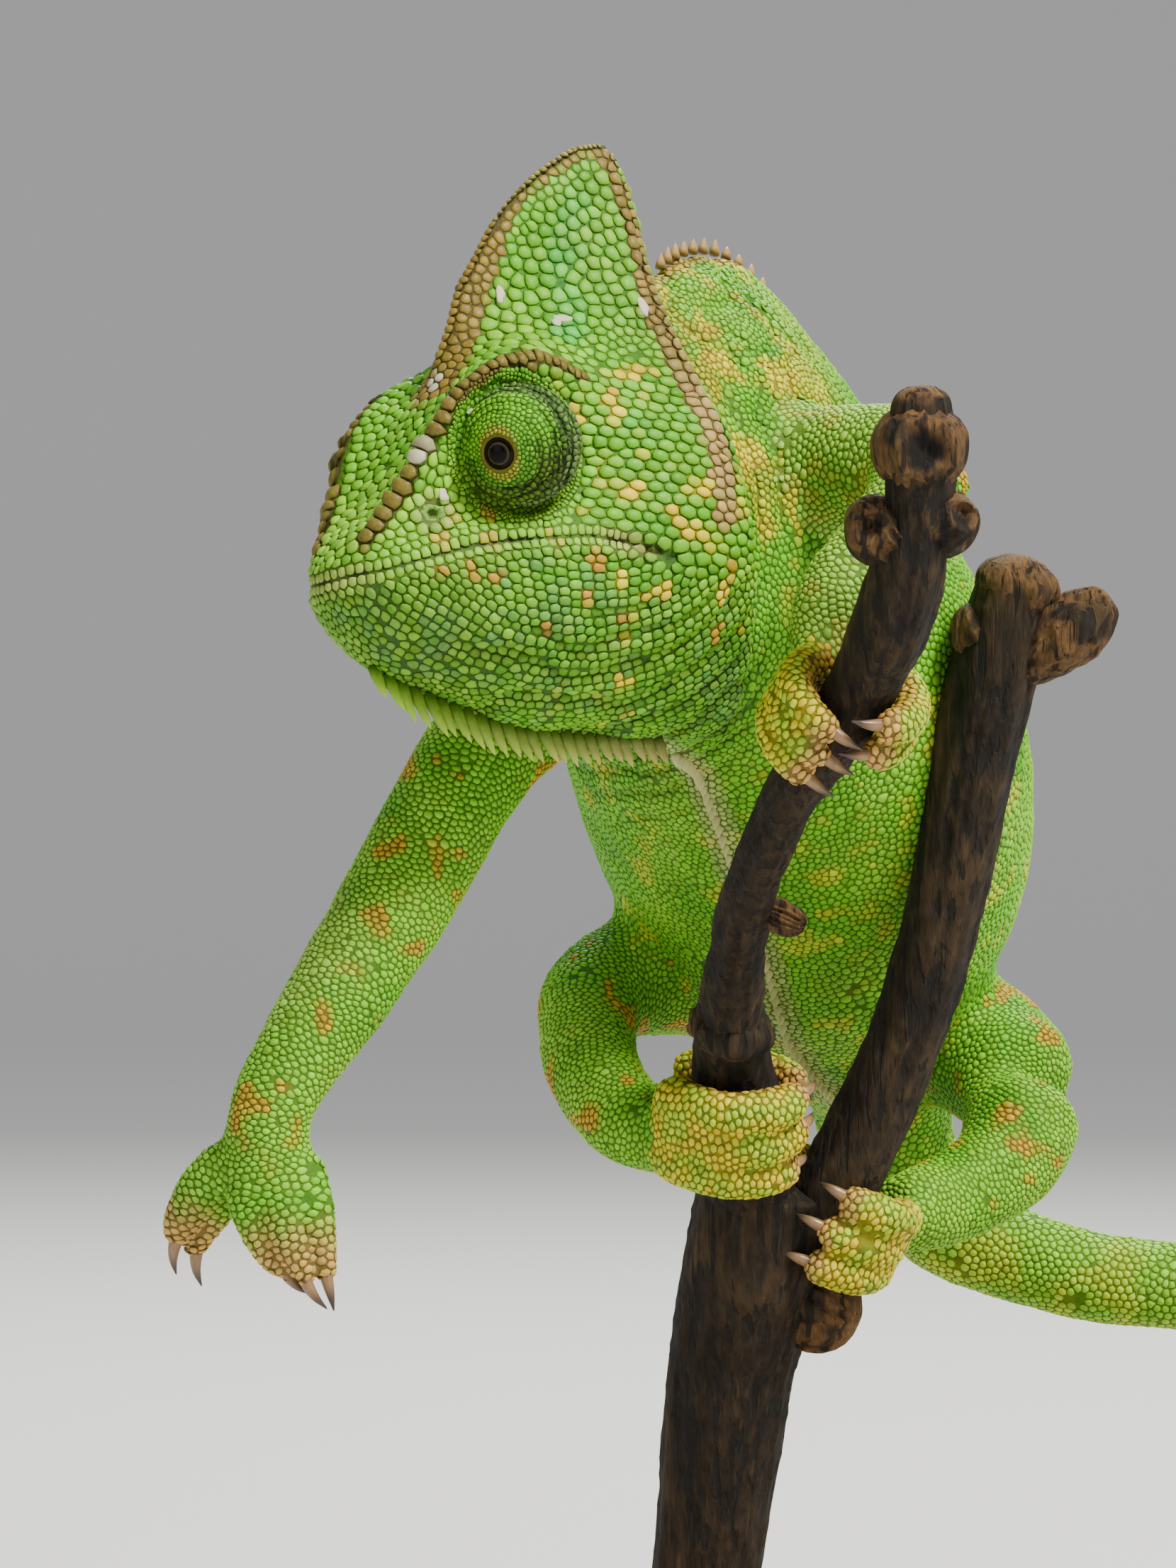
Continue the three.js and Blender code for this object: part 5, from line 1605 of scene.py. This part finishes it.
def in_parts(*names):
    """True for the roots of the named parts that show a scale."""
    return roots["show"] & is_in(roots["part"], *names)


def add_coat():
    """The coat in pieces: the head's two sides, the trunk in three lengths, the tail, and each leg with its toes.
    The coat in pieces that each stay well under the most triangles a piece may have.
    """
    on_trunk = in_parts("trunk")
    along = roots["points"][:, 1]
    steps = np.quantile(along[on_trunk], [0, 1 / 3, 2 / 3, 1])
    steps[-1] += 1
    hand = to_head(roots["points"])[:, 1]
    for side, chosen in (("left", hand >= 0), ("right", hand < 0)):
        chosen = np.flatnonzero(in_parts("head") & chosen)
        add_scales("scales_head_" + side, roots, chosen, SCALES, "skin", FULL_DOME, 9)
    for number in range(3):
        chosen = on_trunk & (along >= steps[number]) & (along < steps[number + 1])
        add_scales(f"scales_trunk_{number + 1}", roots, np.flatnonzero(chosen), BODY_SCALES, "skin")
    add_scales("scales_tail", roots, np.flatnonzero(in_parts("tail")), BODY_SCALES, "skin")
    for name in LIMBS:
        chosen = np.flatnonzero(in_parts(name, "toes_" + name))
        add_scales("scales_" + name, roots, chosen, BODY_SCALES, "skin", LOW_DOME, 6)


add_coat()


# ======== Eyes ========
GAZE = {"left": unit(np.array([-0.36, -0.9, -0.2])), "right": unit(np.array([-0.95, 0.18, -0.05]))}
LID_FOLDS = np.radians([40, 55, 68, 79, 89, 99])  # angles from the gaze of the rings of folded skin
LAST_ROW = math.radians(124)


def turret_ways(side):
    """A turret's centre, its gaze, and two directions across it, of which the second leans upward."""
    centre = from_head([0, EYE_SIDE if side == "left" else -EYE_SIDE, 0])
    gaze = GAZE[side]
    across = unit(np.cross(gaze, HEAD_WAYS[2]))
    return centre, gaze, across, np.cross(across, gaze)


def lid_crease(polar, turn, late=0.0, wide=0.05):
    """How deep in a crease a place on the lid lies: bells at rings of folds that wander with the turn, deepest
    below and behind for the inner ones."""
    deep = 0 * polar
    for number, ring in enumerate(LID_FOLDS):
        wander = 0.05 * np.sin(2 * turn + 1.7 * number) + 0.025 * np.sin(5 * turn + number)
        strong = np.clip(0.55 + 0.4 * np.cos(turn + 0.9 + 0.35 * number) + 0.08 * number, 0, 1)
        deep = deep + strong * bump_at(polar, ring + wander + late, wide)
    return deep


def lid_radius(polar, turn):
    """Distance of the lid's skin from the turret's centre: the ball's radius, less the creases, more a soft
    swell beside each, and a raised lip round the opening."""
    r = EYE_RADIUS + 0.02 - 0.6 * lid_crease(polar, turn) + 0.17 * lid_crease(polar, turn, -0.11, 0.08)
    corner = np.abs(np.sin(turn)) * 3.2
    r = r - 0.16 * bump_at(corner, 0, 0.35) * smooth_step(0.35, 0.5, polar) * smooth_step(1.1, 0.8, polar)
    return r + 0.16 * bump_at(polar, math.radians(19), 0.09)


def turret_point(ways, polar, turn):
    """A place on the lid from its angle to the gaze and its turn about it."""
    centre, gaze, across, upward = ways
    r = lid_radius(polar, turn)[..., None]
    out = across * np.cos(turn)[..., None] + upward * np.sin(turn)[..., None]
    return centre + r * (gaze * np.cos(polar)[..., None] + out * np.sin(polar)[..., None])


SOCKET_PROFILE = ((0.02, -4.9), (1.6, -4.8), (2.75, -3.6), (2.95, -2.5), (2.75, -1.5), (2.15, -0.75), (1.72, -0.42))


def turret_grid(ways, rings=120, around=128):
    """The joined lids: a hollow for the eyeball, the round lip, then the folded ball of skin to its back."""
    turn = np.broadcast_to(full_turn(around), (rings, around))
    polar = np.broadcast_to(np.linspace(math.radians(15.5), np.pi, rings)[:, None], (rings, around))
    outside = turret_point(ways, polar, turn)
    centre, gaze, across, upward = ways
    out = across * np.cos(turn[:1, :, None]) + upward * np.sin(turn[:1, :, None])
    r, depth = np.array(SOCKET_PROFILE).T[:, :, None, None]
    inside = centre + gaze * (EYE_RADIUS + depth) + out * r
    return np.concatenate([inside, outside])


def lid_rows():
    """Roots of the lids' scales: rings about the gaze, each scale half a step on from the ring before."""
    polar_at, turn_at, radius_at = [], [], []
    polar, odd = math.radians(20.5), 0
    while polar < LAST_ROW:
        radius = float(np.interp(polar, np.radians([20, 45, 75, 110]), [0.23, 0.33, 0.35, 0.32]))
        count = int(round(2 * math.pi * EYE_RADIUS * math.sin(polar) / (2.05 * radius)))
        turn = 2 * np.pi * (np.arange(count) + 0.5 * odd) / count
        polar_at.append(np.full(count, polar))
        turn_at.append(turn)
        radius_at.append(np.full(count, radius))
        polar += 1.78 * radius / EYE_RADIUS
        odd = 1 - odd
    polar, turn, radius = (np.concatenate(a) for a in (polar_at, turn_at, radius_at))
    polar = polar + CHANCE.normal(0, 0.013, len(polar))
    turn = turn + CHANCE.normal(0, 0.018, len(turn))
    return polar, turn, radius


def lid_tone(polar, turn, points):
    """Lime, lighter on the upper side as painted light and olive on the lower side as painted shade, painted
    shade in the creases of the folds, an ochre lip, and grey-green in the lower outer folds.
    """
    height = np.sin(turn)
    return layered(np.tile(LIME * 0.8, (len(polar), 1)), [
        (LEAF * 0.7, 0.8 * blotch(points, 1.8, 31, 0.45)),
        # painted light: the upper side lighter
        (LIME * 1.05, 0.7 * smooth_step(-0.1, 0.7, height)),
        # painted shade: olive on the lower side
        (OLIVE * 0.7, 0.75 * smooth_step(0.3, -0.6, height) * smooth_step(0.45, 0.9, polar)),
        (SLATE * 0.5 + OLIVE * 0.5, 0.75 * smooth_step(1.05, 1.3, polar)),
        # painted shade: dark in the creases between the lid's folds
        (OLIVE * 0.12, 0.85 * lid_crease(polar, turn, 0.0, 0.06)),
        (YELLOW * 0.3 + TAN * 0.3, 0.75 * smooth_step(0.46, 0.36, polar + 0.08 * np.cos(2 * turn))),
    ])


def add_eye(side):
    """One turret with its scales, and the eyeball in its opening."""
    ways = turret_ways(side)
    turned_points, faces = shell(turret_grid(ways))
    centre, gaze, across, upward = ways
    from_centre = turned_points - centre
    polar = np.arccos(np.clip(unit(from_centre) @ gaze, -1, 1))
    turn = np.arctan2(from_centre @ upward, from_centre @ across)
    tone = lid_tone(polar, turn, turned_points) * 0.9
    tone = tinted(tone, YELLOW * 0.5, smooth_step(0.37, 0.30, polar))
    piece("turret_" + side, turned_points, faces, SKIN, "eyelid", ["eye_" + side], tone=tone)
    polar, turn, radius = lid_rows()
    places = turret_point(ways, polar, turn)
    step = 0.02
    along = turret_point(ways, polar + step, turn) - turret_point(ways, polar - step, turn)
    aside = turret_point(ways, polar, turn + step) - turret_point(ways, polar, turn - step)
    normal = unit(np.cross(along, aside))
    normal *= np.sign(dots(normal, places - centre))[:, None]
    tone = lid_tone(polar, turn, places) * CHANCE.normal(1, 0.12, (len(polar), 1))
    flat = 0.5 + 0.16 * polar[:, None] * np.column_stack([np.cos(turn), np.sin(turn)])
    lids = {"points": places, "normals": normal, "radius": radius, "height": radius * 0.42,
            "tone": np.clip(tone, 0, 1), "uv": flat, "way": along, "longer": np.ones(len(polar))}
    add_scales("lid_scales_" + side, lids, np.arange(len(polar)), SCALES, "eyelid", LOW_DOME, 7)
    add_eyeball(side, centre + gaze * (EYE_RADIUS - EYEBALL_RADIUS * 0.92), ways)


def add_eyeball(side, middle, ways):
    """A ball: black pupil, a thin paler ring round it, then dark iris out to the lids."""
    _, gaze, across, upward = ways
    polar = np.linspace(0, np.pi, 64)[:, None, None]
    turn = full_turn(64)[None, :, None]
    way = gaze * np.cos(polar) + (across * np.cos(turn) + upward * np.sin(turn)) * np.sin(polar)
    points, faces = shell(middle + EYEBALL_RADIUS * way)
    angle = np.arccos(np.clip(unit(points - middle) @ gaze, -1, 1))
    tone = np.tile([0.002, 0.002, 0.002], (len(points), 1))
    tone = tinted(tone, np.array([0.14, 0.10, 0.04]), 0.6 * bump_at(angle, math.radians(25), 0.03))
    tone = tinted(tone, np.array([0.03, 0.018, 0.006]), smooth_step(0.55, 0.65, angle))
    piece("eyeball_" + side + "_wet", points, faces, eyeball_finish(), "eye", ["eyeball_" + side], tone=tone)


for side in ("left", "right"):
    add_eye(side)


# ======== Nose shields, flakes of old skin, crests and claws ========


def laid_on_skin(place, way, long, high, profile, ragged, seed, around=36):
    """A thin closed patch that follows the skin: rings about a place of the head, at the profile's shares of
    an oval outline roughened by noise, each lifted off the skin by the profile's height."""
    turn = full_turn(around)
    centre, normal, _ = onto_skin(from_head([place]), skin, 4.0)
    u = unit(way @ HEAD_WAYS - normal[0] * np.dot(way @ HEAD_WAYS, normal[0]))
    v = np.cross(normal[0], u)
    circle = np.stack([np.cos(turn), np.sin(turn), 0 * turn], -1)
    edge = 1 + ragged * (2 * noise(circle, 0.7, seed) - 1)
    share, lift = np.array(profile).T[:, :, None]
    reach = share * edge
    spot = centre + (reach * long * np.cos(turn))[..., None] * u + (reach * high * np.sin(turn))[..., None] * v
    flat, out, _ = onto_skin(spot.reshape(-1, 3), skin, 3.0)
    out = unit(out + normal[0])
    return shell((flat + out * np.repeat(lift[:, 0], around)[:, None]).reshape(spot.shape))


# Each profile: share of the outline, and height above the skin.
NOSE_PROFILE = ((0, -0.75), (0.16, -0.72), (0.3, -0.35), (0.42, 0.12), (0.58, 0.3), (0.8, 0.28), (0.93, 0.12),
                (1, -0.25), (0.7, -0.9), (0, -1.1))
FLAKE_PROFILE = ((0, 0.5), (0.5, 0.52), (0.86, 0.46), (1, 0.36), (0.9, 0.26), (0, 0.2))
# Each flake: its place on the head, then half its length and height.
FLAKES = ((-9.3, 1.6, 17.0, 0.5, 1.2), (-14.7, 4.8, 12.8, 1.3, 0.5), (-13.6, 4.6, 12.6, 0.6, 0.6),
          (-25.1, 6.0, 12.5, 0.6, 1.4), (9.4, 7.6, -3.4, 0.6, 0.8), (4.4, 9.6, 4.4, 0.5, 0.4))
FLAKE_TONE = np.array([0.66, 0.56, 0.44])


def add_nose_shields():
    """A smooth pale scale round each nostril, with a hollow in it that is darkened as painted shade."""
    along, (x, y, z) = np.array([1, 0, 0.4]), NOSTRIL
    made = [laid_on_skin((x, hand * y, z), along, 1.75, 1.45, NOSE_PROFILE, 0.12, 3) for hand in (1, -1)]
    points, faces = together(made)
    hollow = smooth_step(0.75, 0.3, from_pair(to_head(points), NOSTRIL))
    # painted shade: dark in the nostril's hollow
    tone = tinted(np.tile(PALE_GREEN * 0.4 + SLATE * 0.5, (len(points), 1)), OLIVE * 0.15, hollow)
    piece("nose_shields", points, faces, SCALES, "skin", tone=tone, rim=0 * hollow)


def add_flakes():
    """A few thin ragged flakes of old skin on the head's left side."""
    made = [laid_on_skin((x, y, z), np.array([1, 0, 0.2]), long, high, FLAKE_PROFILE, 0.5, 40 + number, 24)
            for number, (x, y, z, long, high) in enumerate(FLAKES)]
    points, faces = together(made)
    tone = np.tile(FLAKE_TONE, (len(points), 1))
    piece("shed_flakes", points, faces, SCALES, "skin", tone=tone, rim=np.zeros(len(points)))


def add_spikes(name, feet, out, length, wide, thin, along, tone_foot, tone_tip, bend=0.15, blunt=1.9):
    """Flat soft spikes: an oval section, wide along the row and thin across it, that shrinks towards the tip
    by the given power of its height, and bends along the row with its square. The foot is closed."""
    count, sides, shares = len(feet), 10, np.array([0.0, 0.35, 0.7, 0.92])
    out = unit(out)
    along = unit(along - out * dots(along, out)[:, None])
    across = np.cross(out, along)
    angle = full_turn(sides)
    slim = (1 - shares**blunt)[None, :, None]
    c, s = np.cos(angle), np.sin(angle)
    high = (length[:, None] * shares)[:, :, None, None] * out[:, None, None]
    lean = (bend * length[:, None] * shares**2)[:, :, None, None] * along[:, None, None]
    sideways = (wide[:, None, None] * slim * c)[..., None] * along[:, None, None]
    depth = (thin[:, None, None] * slim * s)[..., None] * across[:, None, None]
    body = feet[:, None, None] + high + lean + sideways + depth
    tip = feet + out * length[:, None] + along * (bend * length)[:, None]
    points = np.concatenate([body.reshape(count, -1, 3), tip[:, None]], axis=1)
    share = np.append(np.repeat(shares, sides), 1.0)
    tone = tone_foot[:, None] + (tone_tip - tone_foot)[:, None] * share[None, :, None] ** 1.3
    points, faces = facing_out(points.reshape(-1, 3), pointed_faces(count, len(shares), sides))
    # rim: painted shade at the foot of each spike, where it meets the skin
    rim = np.tile(np.clip(0.5 - 2 * share, 0, 1), count)
    piece(name, points, faces, SCALES, "skin", tone=tone.reshape(-1, 3), rim=rim)


GULAR_SPIKES = 24


def add_gular_crest():
    """Under the chin and throat: the longest a little behind the chin, blunter and pinker towards the rear."""
    share = np.linspace(0, 1, GULAR_SPIKES)
    x = 17.4 - 36 * share
    length = 5.6 * np.minimum(1, 0.72 + 2.5 * share) * (1 - 0.42 * share) * CHANCE.normal(1, 0.05, GULAR_SPIKES)
    feet = from_head(np.column_stack([x, CHANCE.normal(0, 0.12, GULAR_SPIKES), HEAD["keel"](x) + 0.7]))
    lean = np.column_stack([-0.12 + CHANCE.normal(0, 0.05, GULAR_SPIKES), 0 * x, 0 * x - 1])
    foot = tinted(np.tile(LEAF * 0.5 + OLIVE * 0.3, (GULAR_SPIKES, 1)), OLIVE * 0.7 + CREAM * 0.15, 0.8 * share)
    tip = tinted(np.tile(PALE_GREEN * 0.75 + YELLOW * 0.12, (GULAR_SPIKES, 1)), PINK, 0.8 * share)
    forward = np.tile(-HEAD_WAYS[0], (GULAR_SPIKES, 1))
    wide, thin = np.full(GULAR_SPIKES, 0.8), np.full(GULAR_SPIKES, 0.42)
    add_spikes("gular_crest", feet, lean @ HEAD_WAYS, length, wide, thin, forward, foot, tip, 0.12, 3.0)


def add_back_crest(count=64):
    """Small soft spikes along the spine, largest over the shoulders."""
    t = np.linspace(0.13, 0.93, count)
    ridge, out, back = trunk_line(t, True)
    length = (1.0 - 0.4 * t) * CHANCE.normal(1, 0.1, count)
    foot = tinted(np.tile(TAN * 0.8, (count, 1)), LIME, smooth_step(0.3, 0.6, t))
    tip = tinted(np.tile(PINK * 0.9, (count, 1)), PALE_GREEN, smooth_step(0.25, 0.5, t))
    wide, thin = np.full(count, 0.8), np.full(count, 0.6)
    add_spikes("back_crest", ridge - out * 0.9, out, length + 0.9, wide, thin, back, foot, tip)


def add_belly_keel(count=58):
    """A row of low pale spikes down the middle of the belly."""
    t = np.linspace(0.16, 0.8, count)
    keel, out, back = trunk_line(t, False)
    length = 1.1 * CHANCE.normal(1, 0.1, count)
    tone = np.tile(CREAM, (count, 1))
    wide, thin = np.full(count, 0.7), np.full(count, 0.55)
    add_spikes("belly_keel", keel - out * 0.9, out, length + 0.7, wide, thin, back, tone * 0.8, tone)


CLAW_LINE = ((-1.2, 0), (0.3, 0), (1.4, 0.3), (2.4, 1.0))  # ahead from the toe's end, and turned in


def add_claws():
    """One claw to each toe: a cone that starts inside the toe's end and bends on the way the toe bends."""
    shells, tones = [], []
    for toes in TOES.values():
        for points, _ in toes:
            end, before, third = points[-1], points[-2], points[-3]
            way = unit(end - before)
            turn_in = unit(way - unit(before - third) + np.array([0, 0, -0.12]))
            line = [end + way * ahead + turn_in * bend for ahead, bend in CLAW_LINE]
            grid = loft(line, evenly([0.75, 0.62, 0.4, 0.08]), lean=turn_in, ends=0.03, along=18, around=14)
            shells.append(shell(grid))
            reach = (shells[-1][0] - end) @ way
            foot = np.tile(TAN * 0.35 + PINK * 0.25, (len(reach), 1))
            tones.append(tinted(foot, BROWN * 0.3, smooth_step(0.2, 2.2, reach)))
    points, faces = together(shells)
    piece("claws", points, faces, horn_finish(), "skin", tone=np.vstack(tones))


add_nose_shields()
add_flakes()
add_gular_crest()
add_back_crest()
add_belly_keel()
add_claws()


# ======== Perch and display stand ========
STEM = {"points": [[13.2, 70.5, -101], [14.2, 70, -90], [16.6, 67, -70], [18.8, 64, -58], [20.6, 61.5, -45.5]],
        "radii": [6.2, 6.4, 7.2, 8, 7.6], "stubs": [[[20, 65, -58], [31.5, 63.6, -63], 5]]}
FRONT_TWIG = {
    "points": [[19.5, 60.5, -50], [17.4, 55, -38], [16.2, 48, -28.5], [16.6, 40, -20], [18, 31, -12],
               [21.4, 20, -2.6], [26, 13, 4.6], [30.2, 8, 12], [33.2, 4, 19.4], [34.8, 1, 27.6], [35.4, 0, 35],
               [35.4, -0.2, 42.4]],
    "radii": [5.4, 5.2, 4, 3.2, 2.9, 3, 3.4, 3.8, 4.2, 3.4, 3.8, 3],
    "scars": [[35.6, -5.4, 35.2, 2.7], [29.4, -2.6, 27.4, 1.7], [40.4, -1.7, 28.4, 1.6]],
    "stubs": [[[35.3, -0.2, 29.8], [35.25, -0.6, 40.4], 4.8], [[33.6, 2, 23.5], [28.4, 0.6, 30], 3.6],
              [[34.4, 2, 24.5], [40.8, 1.4, 30], 3.4], [[18.6, 33, -13.6], [24.2, 33.6, -16], 1.8],
              [[17, 45, -25], [15.8, 48.4, -30.2], 4.6]],
}
BACK_TWIG = {
    "points": [[23.5, 64, -56], [27.6, 62, -48.9], [33.7, 59, -36.4], [38.4, 56, -24], [41.5, 53, -11.7],
               [43.5, 50, 0.5], [46, 47, 12.6], [49, 45, 24.5]],
    "radii": [5, 4.8, 4.4, 4.3, 4.4, 4.7, 5, 4.2],
    "stubs": [[[47.6, 46, 18], [49, 45, 26], 4.6], [[47, 46, 12], [59.4, 45, 21], 3.9],
              [[46.6, 46.6, 13], [43, 45, 20.4], 3.4]],
}


def scarred(spot, scars):
    """How far bark is pushed out, and how dark it is, near old leaf scars: a dent with a raised rim round it,
    both bells of the distance from the scar's middle."""
    push, dark = np.zeros(len(spot)), np.zeros(len(spot))
    for x, y, z, wide in scars:
        away = lengths(spot - STUDY_AT - (x, y, z)) + 1.2 * (noise(spot, 1.5, 9) - 0.5)
        push += 0.6 * bump_at(away, wide * 1.2, 0.28 * wide) - 1.5 * bump_at(away, 0, 0.75 * wide)
        dark = np.maximum(dark, smooth_step(1.05 * wide, 0.7 * wide, away))
    return push, dark


def roughened(grid, seed, depth):
    """A limb of wood with its bark: pushed out and in along its rings' radii by long ridges, by lumps, and by
    fine flakes. Gives the grid and how high each point stands, from 0 to 1."""
    middle = grid.mean(axis=1, keepdims=True)
    out = unit(grid - middle)
    length = np.concatenate([[0], np.cumsum(lengths(np.diff(middle[:, 0], axis=0)))])
    flat = (out * 5.0).reshape(-1, 3) + np.repeat(length, grid.shape[1])[:, None] * [0.03, 0.05, 0.04]
    spot = grid.reshape(-1, 3)
    ridges = 1 - np.abs(2 * noise(flat, 1.5, seed) - 1)
    lumps = noise(spot, 4.5, seed + 1)
    flakes = 1 - np.abs(2 * noise(spot * [1, 1, 0.6], 1.6, seed + 2) - 1)
    height = 0.4 * ridges**1.6 + 0.35 * lumps + 0.25 * flakes
    push = (height - 0.55) * 2 * depth
    return grid + out * push.reshape(grid.shape[:2])[..., None], height


def bark_limb(wood, seed):
    """A twig and its stubs, each with bark, and where broken or cut ends show bare wood."""
    shells, heights, cuts = [], [], []
    points = np.array(wood["points"]) + STUDY_AT
    limbs = [(points, evenly(wood["radii"]), 0.03, 300, 72, 0.5)]
    for start, stop, radius in wood["stubs"]:
        line = np.array([start, stop]) + STUDY_AT
        limbs.append((line, evenly([radius * 0.7, radius, radius * 0.95]), 0.42, 90, 90, 0.95))
    for number, (line, radii, ends, along, around, depth) in enumerate(limbs):
        grid = loft(line, radii, ends=ends, along=along, around=around)
        grid, height = roughened(grid, seed + 5 * number, depth)
        push, dark = scarred(grid.reshape(-1, 3), wood.get("scars", ()))
        out = unit(grid - grid.mean(axis=1, keepdims=True))
        grid = grid + out * push.reshape(grid.shape[:2])[..., None]
        height = height * (1 - dark)
        some, faces = shell(grid)
        shells.append((some, faces))
        inner = height.reshape(grid.shape[:2])[1:-1].ravel()
        heights.append(np.concatenate([[0.5], inner, [0.5]]))
        way = unit(line[-1] - line[-2])
        past = (some - line[-1]) @ way
        _, dark = scarred(some, wood.get("scars", ()))
        ragged = smooth_step(-1.8, -0.6, past + 2.4 * (noise(some, 1.6, seed) - 0.5))
        wear_and_groove_shade = np.maximum(0.8 * ragged, 0.6 * bool(number) * smooth_step(0.42, 0.6, noise(some, 3.0, seed + 9)))
        cuts.append(wear_and_groove_shade * (1 - dark) if number or len(line) > 5 else 0 * past)
    points, faces = together(shells)
    return points, faces, np.concatenate(heights), np.concatenate(cuts)


BARK = bark_finish()
for name, wood, seed in (("perch_stem", STEM, 60), ("perch_front", FRONT_TWIG, 80), ("perch_back", BACK_TWIG, 120)):
    points_of_bark, faces_of_bark, ridge, cut = bark_limb(wood, seed)
    piece(name + "_bark", points_of_bark, faces_of_bark, BARK, "bark", [name], ridge=ridge, cut=cut)


def lathe(centre, profile, around=128):
    """A closed surface of revolution about an upright axis through the centre, from (radius, height) pairs."""
    turn = full_turn(around)[None]
    r, z = np.array(profile, float).T[:, :, None]
    return shell(np.stack([centre[0] + r * np.cos(turn), centre[1] + r * np.sin(turn), z + 0 * turn], -1))


def rounded(corners, radius, steps=6):
    """A profile whose inner corners are arcs: each turns through the curve between two points near it."""
    made = [corners[0]]
    for before, corner, after in zip(corners, corners[1:], corners[2:]):
        before, corner, after = (np.array(p, float) for p in (before, corner, after))
        near = min(radius, 0.45 * np.linalg.norm(before - corner), 0.45 * np.linalg.norm(after - corner))
        start = corner + unit(before - corner) * near
        stop = corner + unit(after - corner) * near
        t = np.linspace(0, 1, steps)[:, None]
        made += list((1 - t) ** 2 * start + 2 * t * (1 - t) * corner + t * t * stop)
    return np.array([*made, corners[-1]])


def add_stand():
    """The round base with its eased edge and a shallow groove, and the rod with a low collar."""
    low, high = (np.array(corner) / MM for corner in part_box("stand_base"))
    middle, radius, top = (low + high) / 2, (high - low)[0] / 2, high[2]
    base = rounded([(0, 0), (radius - 0.8, 0), (radius, 0.8), (radius, top - 1.5), (radius - 1.5, top),
                    (radius - 5, top), (radius - 5.6, top - 0.6), (radius - 6.4, top - 0.6), (radius - 7, top),
                    (0, top)], 0.6)
    points, faces = lathe(middle, base, 192)
    piece("stand_base_oak", points, faces, stand_wood_finish(), "stand_wood", ["stand_base"])
    low, high = (np.array(corner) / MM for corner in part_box("stand_rod"))
    middle, radius = (low + high) / 2, (high - low)[0] / 2
    collar = radius + 2.6
    rod = rounded([(0, top), (collar, top), (collar, top + 1.6), (radius, top + 2.4), (radius, high[2]),
                   (0, high[2])], 0.5)
    points, faces = lathe(middle, rod, 96)
    piece("stand_rod_steel", points, faces, stand_metal_finish(), "stand_metal", ["stand_rod"])


add_stand()


# ======== Camera, light and floor ========
CAMERA_AT = (-23.0, -715.0, 136.0)
FOCAL, FILM_WIDTH = 140.7, 36.0  # the film's width is the longer side of the view


def add_camera():
    """A level camera in front of the animal."""
    film = bpy.data.cameras.new("camera")
    film.lens, film.sensor_width = FOCAL, FILM_WIDTH
    film.clip_start, film.clip_end = 0.05, 60.0
    camera = in_scene("camera", film)
    camera.location = Vector(CAMERA_AT) * MM
    camera.rotation_euler = (math.pi / 2, 0, 0)
    bpy.context.scene.camera = camera


def add_light(name, place, power, size, colour, target=(-0.02, 0.0, 0.14)):
    """A square soft box that faces the animal."""
    lamp = bpy.data.lights.new(name, "AREA")
    lamp.energy, lamp.size, lamp.color = power, size, colour
    made = in_scene(name, lamp)
    made.location = place
    made.rotation_euler = (Vector(target) - Vector(place)).to_track_quat("-Z", "Y").to_euler()


def add_floor():
    """A wide pale floor under the stand that curves up far away: a profile turned about the upright axis, level
    and then a quarter of a circle."""
    low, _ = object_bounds()
    turn = full_turn(96)[None]
    level, bend = 2600.0, 1800.0
    share = np.linspace(0, 1, 24)
    r = np.concatenate([level * share**2, level + bend * np.sin(share[1:] * np.pi / 2)])[:, None]
    z = np.concatenate([0 * share, bend * (1 - np.cos(share[1:] * np.pi / 2))])[:, None]
    grid = np.stack([r * np.cos(turn), r * np.sin(turn), low.z / MM + z + 0 * turn], -1)
    mesh = mesh_from("floor", grid.reshape(-1, 3), [ring_quads(*grid.shape[:2])])
    mesh.materials.append(floor_finish())
    floor = in_scene("floor", mesh)


def add_world():
    """An even pale surround."""
    world = bpy.data.worlds.new("studio")
    world.use_nodes = True
    light = world.node_tree.nodes["Background"]
    light.inputs["Color"].default_value = (0.88, 0.90, 0.92, 1)
    light.inputs["Strength"].default_value = 0.46
    bpy.context.scene.world = world


add_camera()
add_light("key", (0.55, -0.5, 1.05), 27, 0.3, (1.0, 0.97, 0.90))
add_light("fill", (-0.9, -0.9, 0.4), 2.4, 0.8, (0.95, 0.98, 1.0))
add_light("rim", (0.1, 0.9, 0.9), 13, 0.5, (1.0, 0.99, 0.95))
add_floor()
add_world()
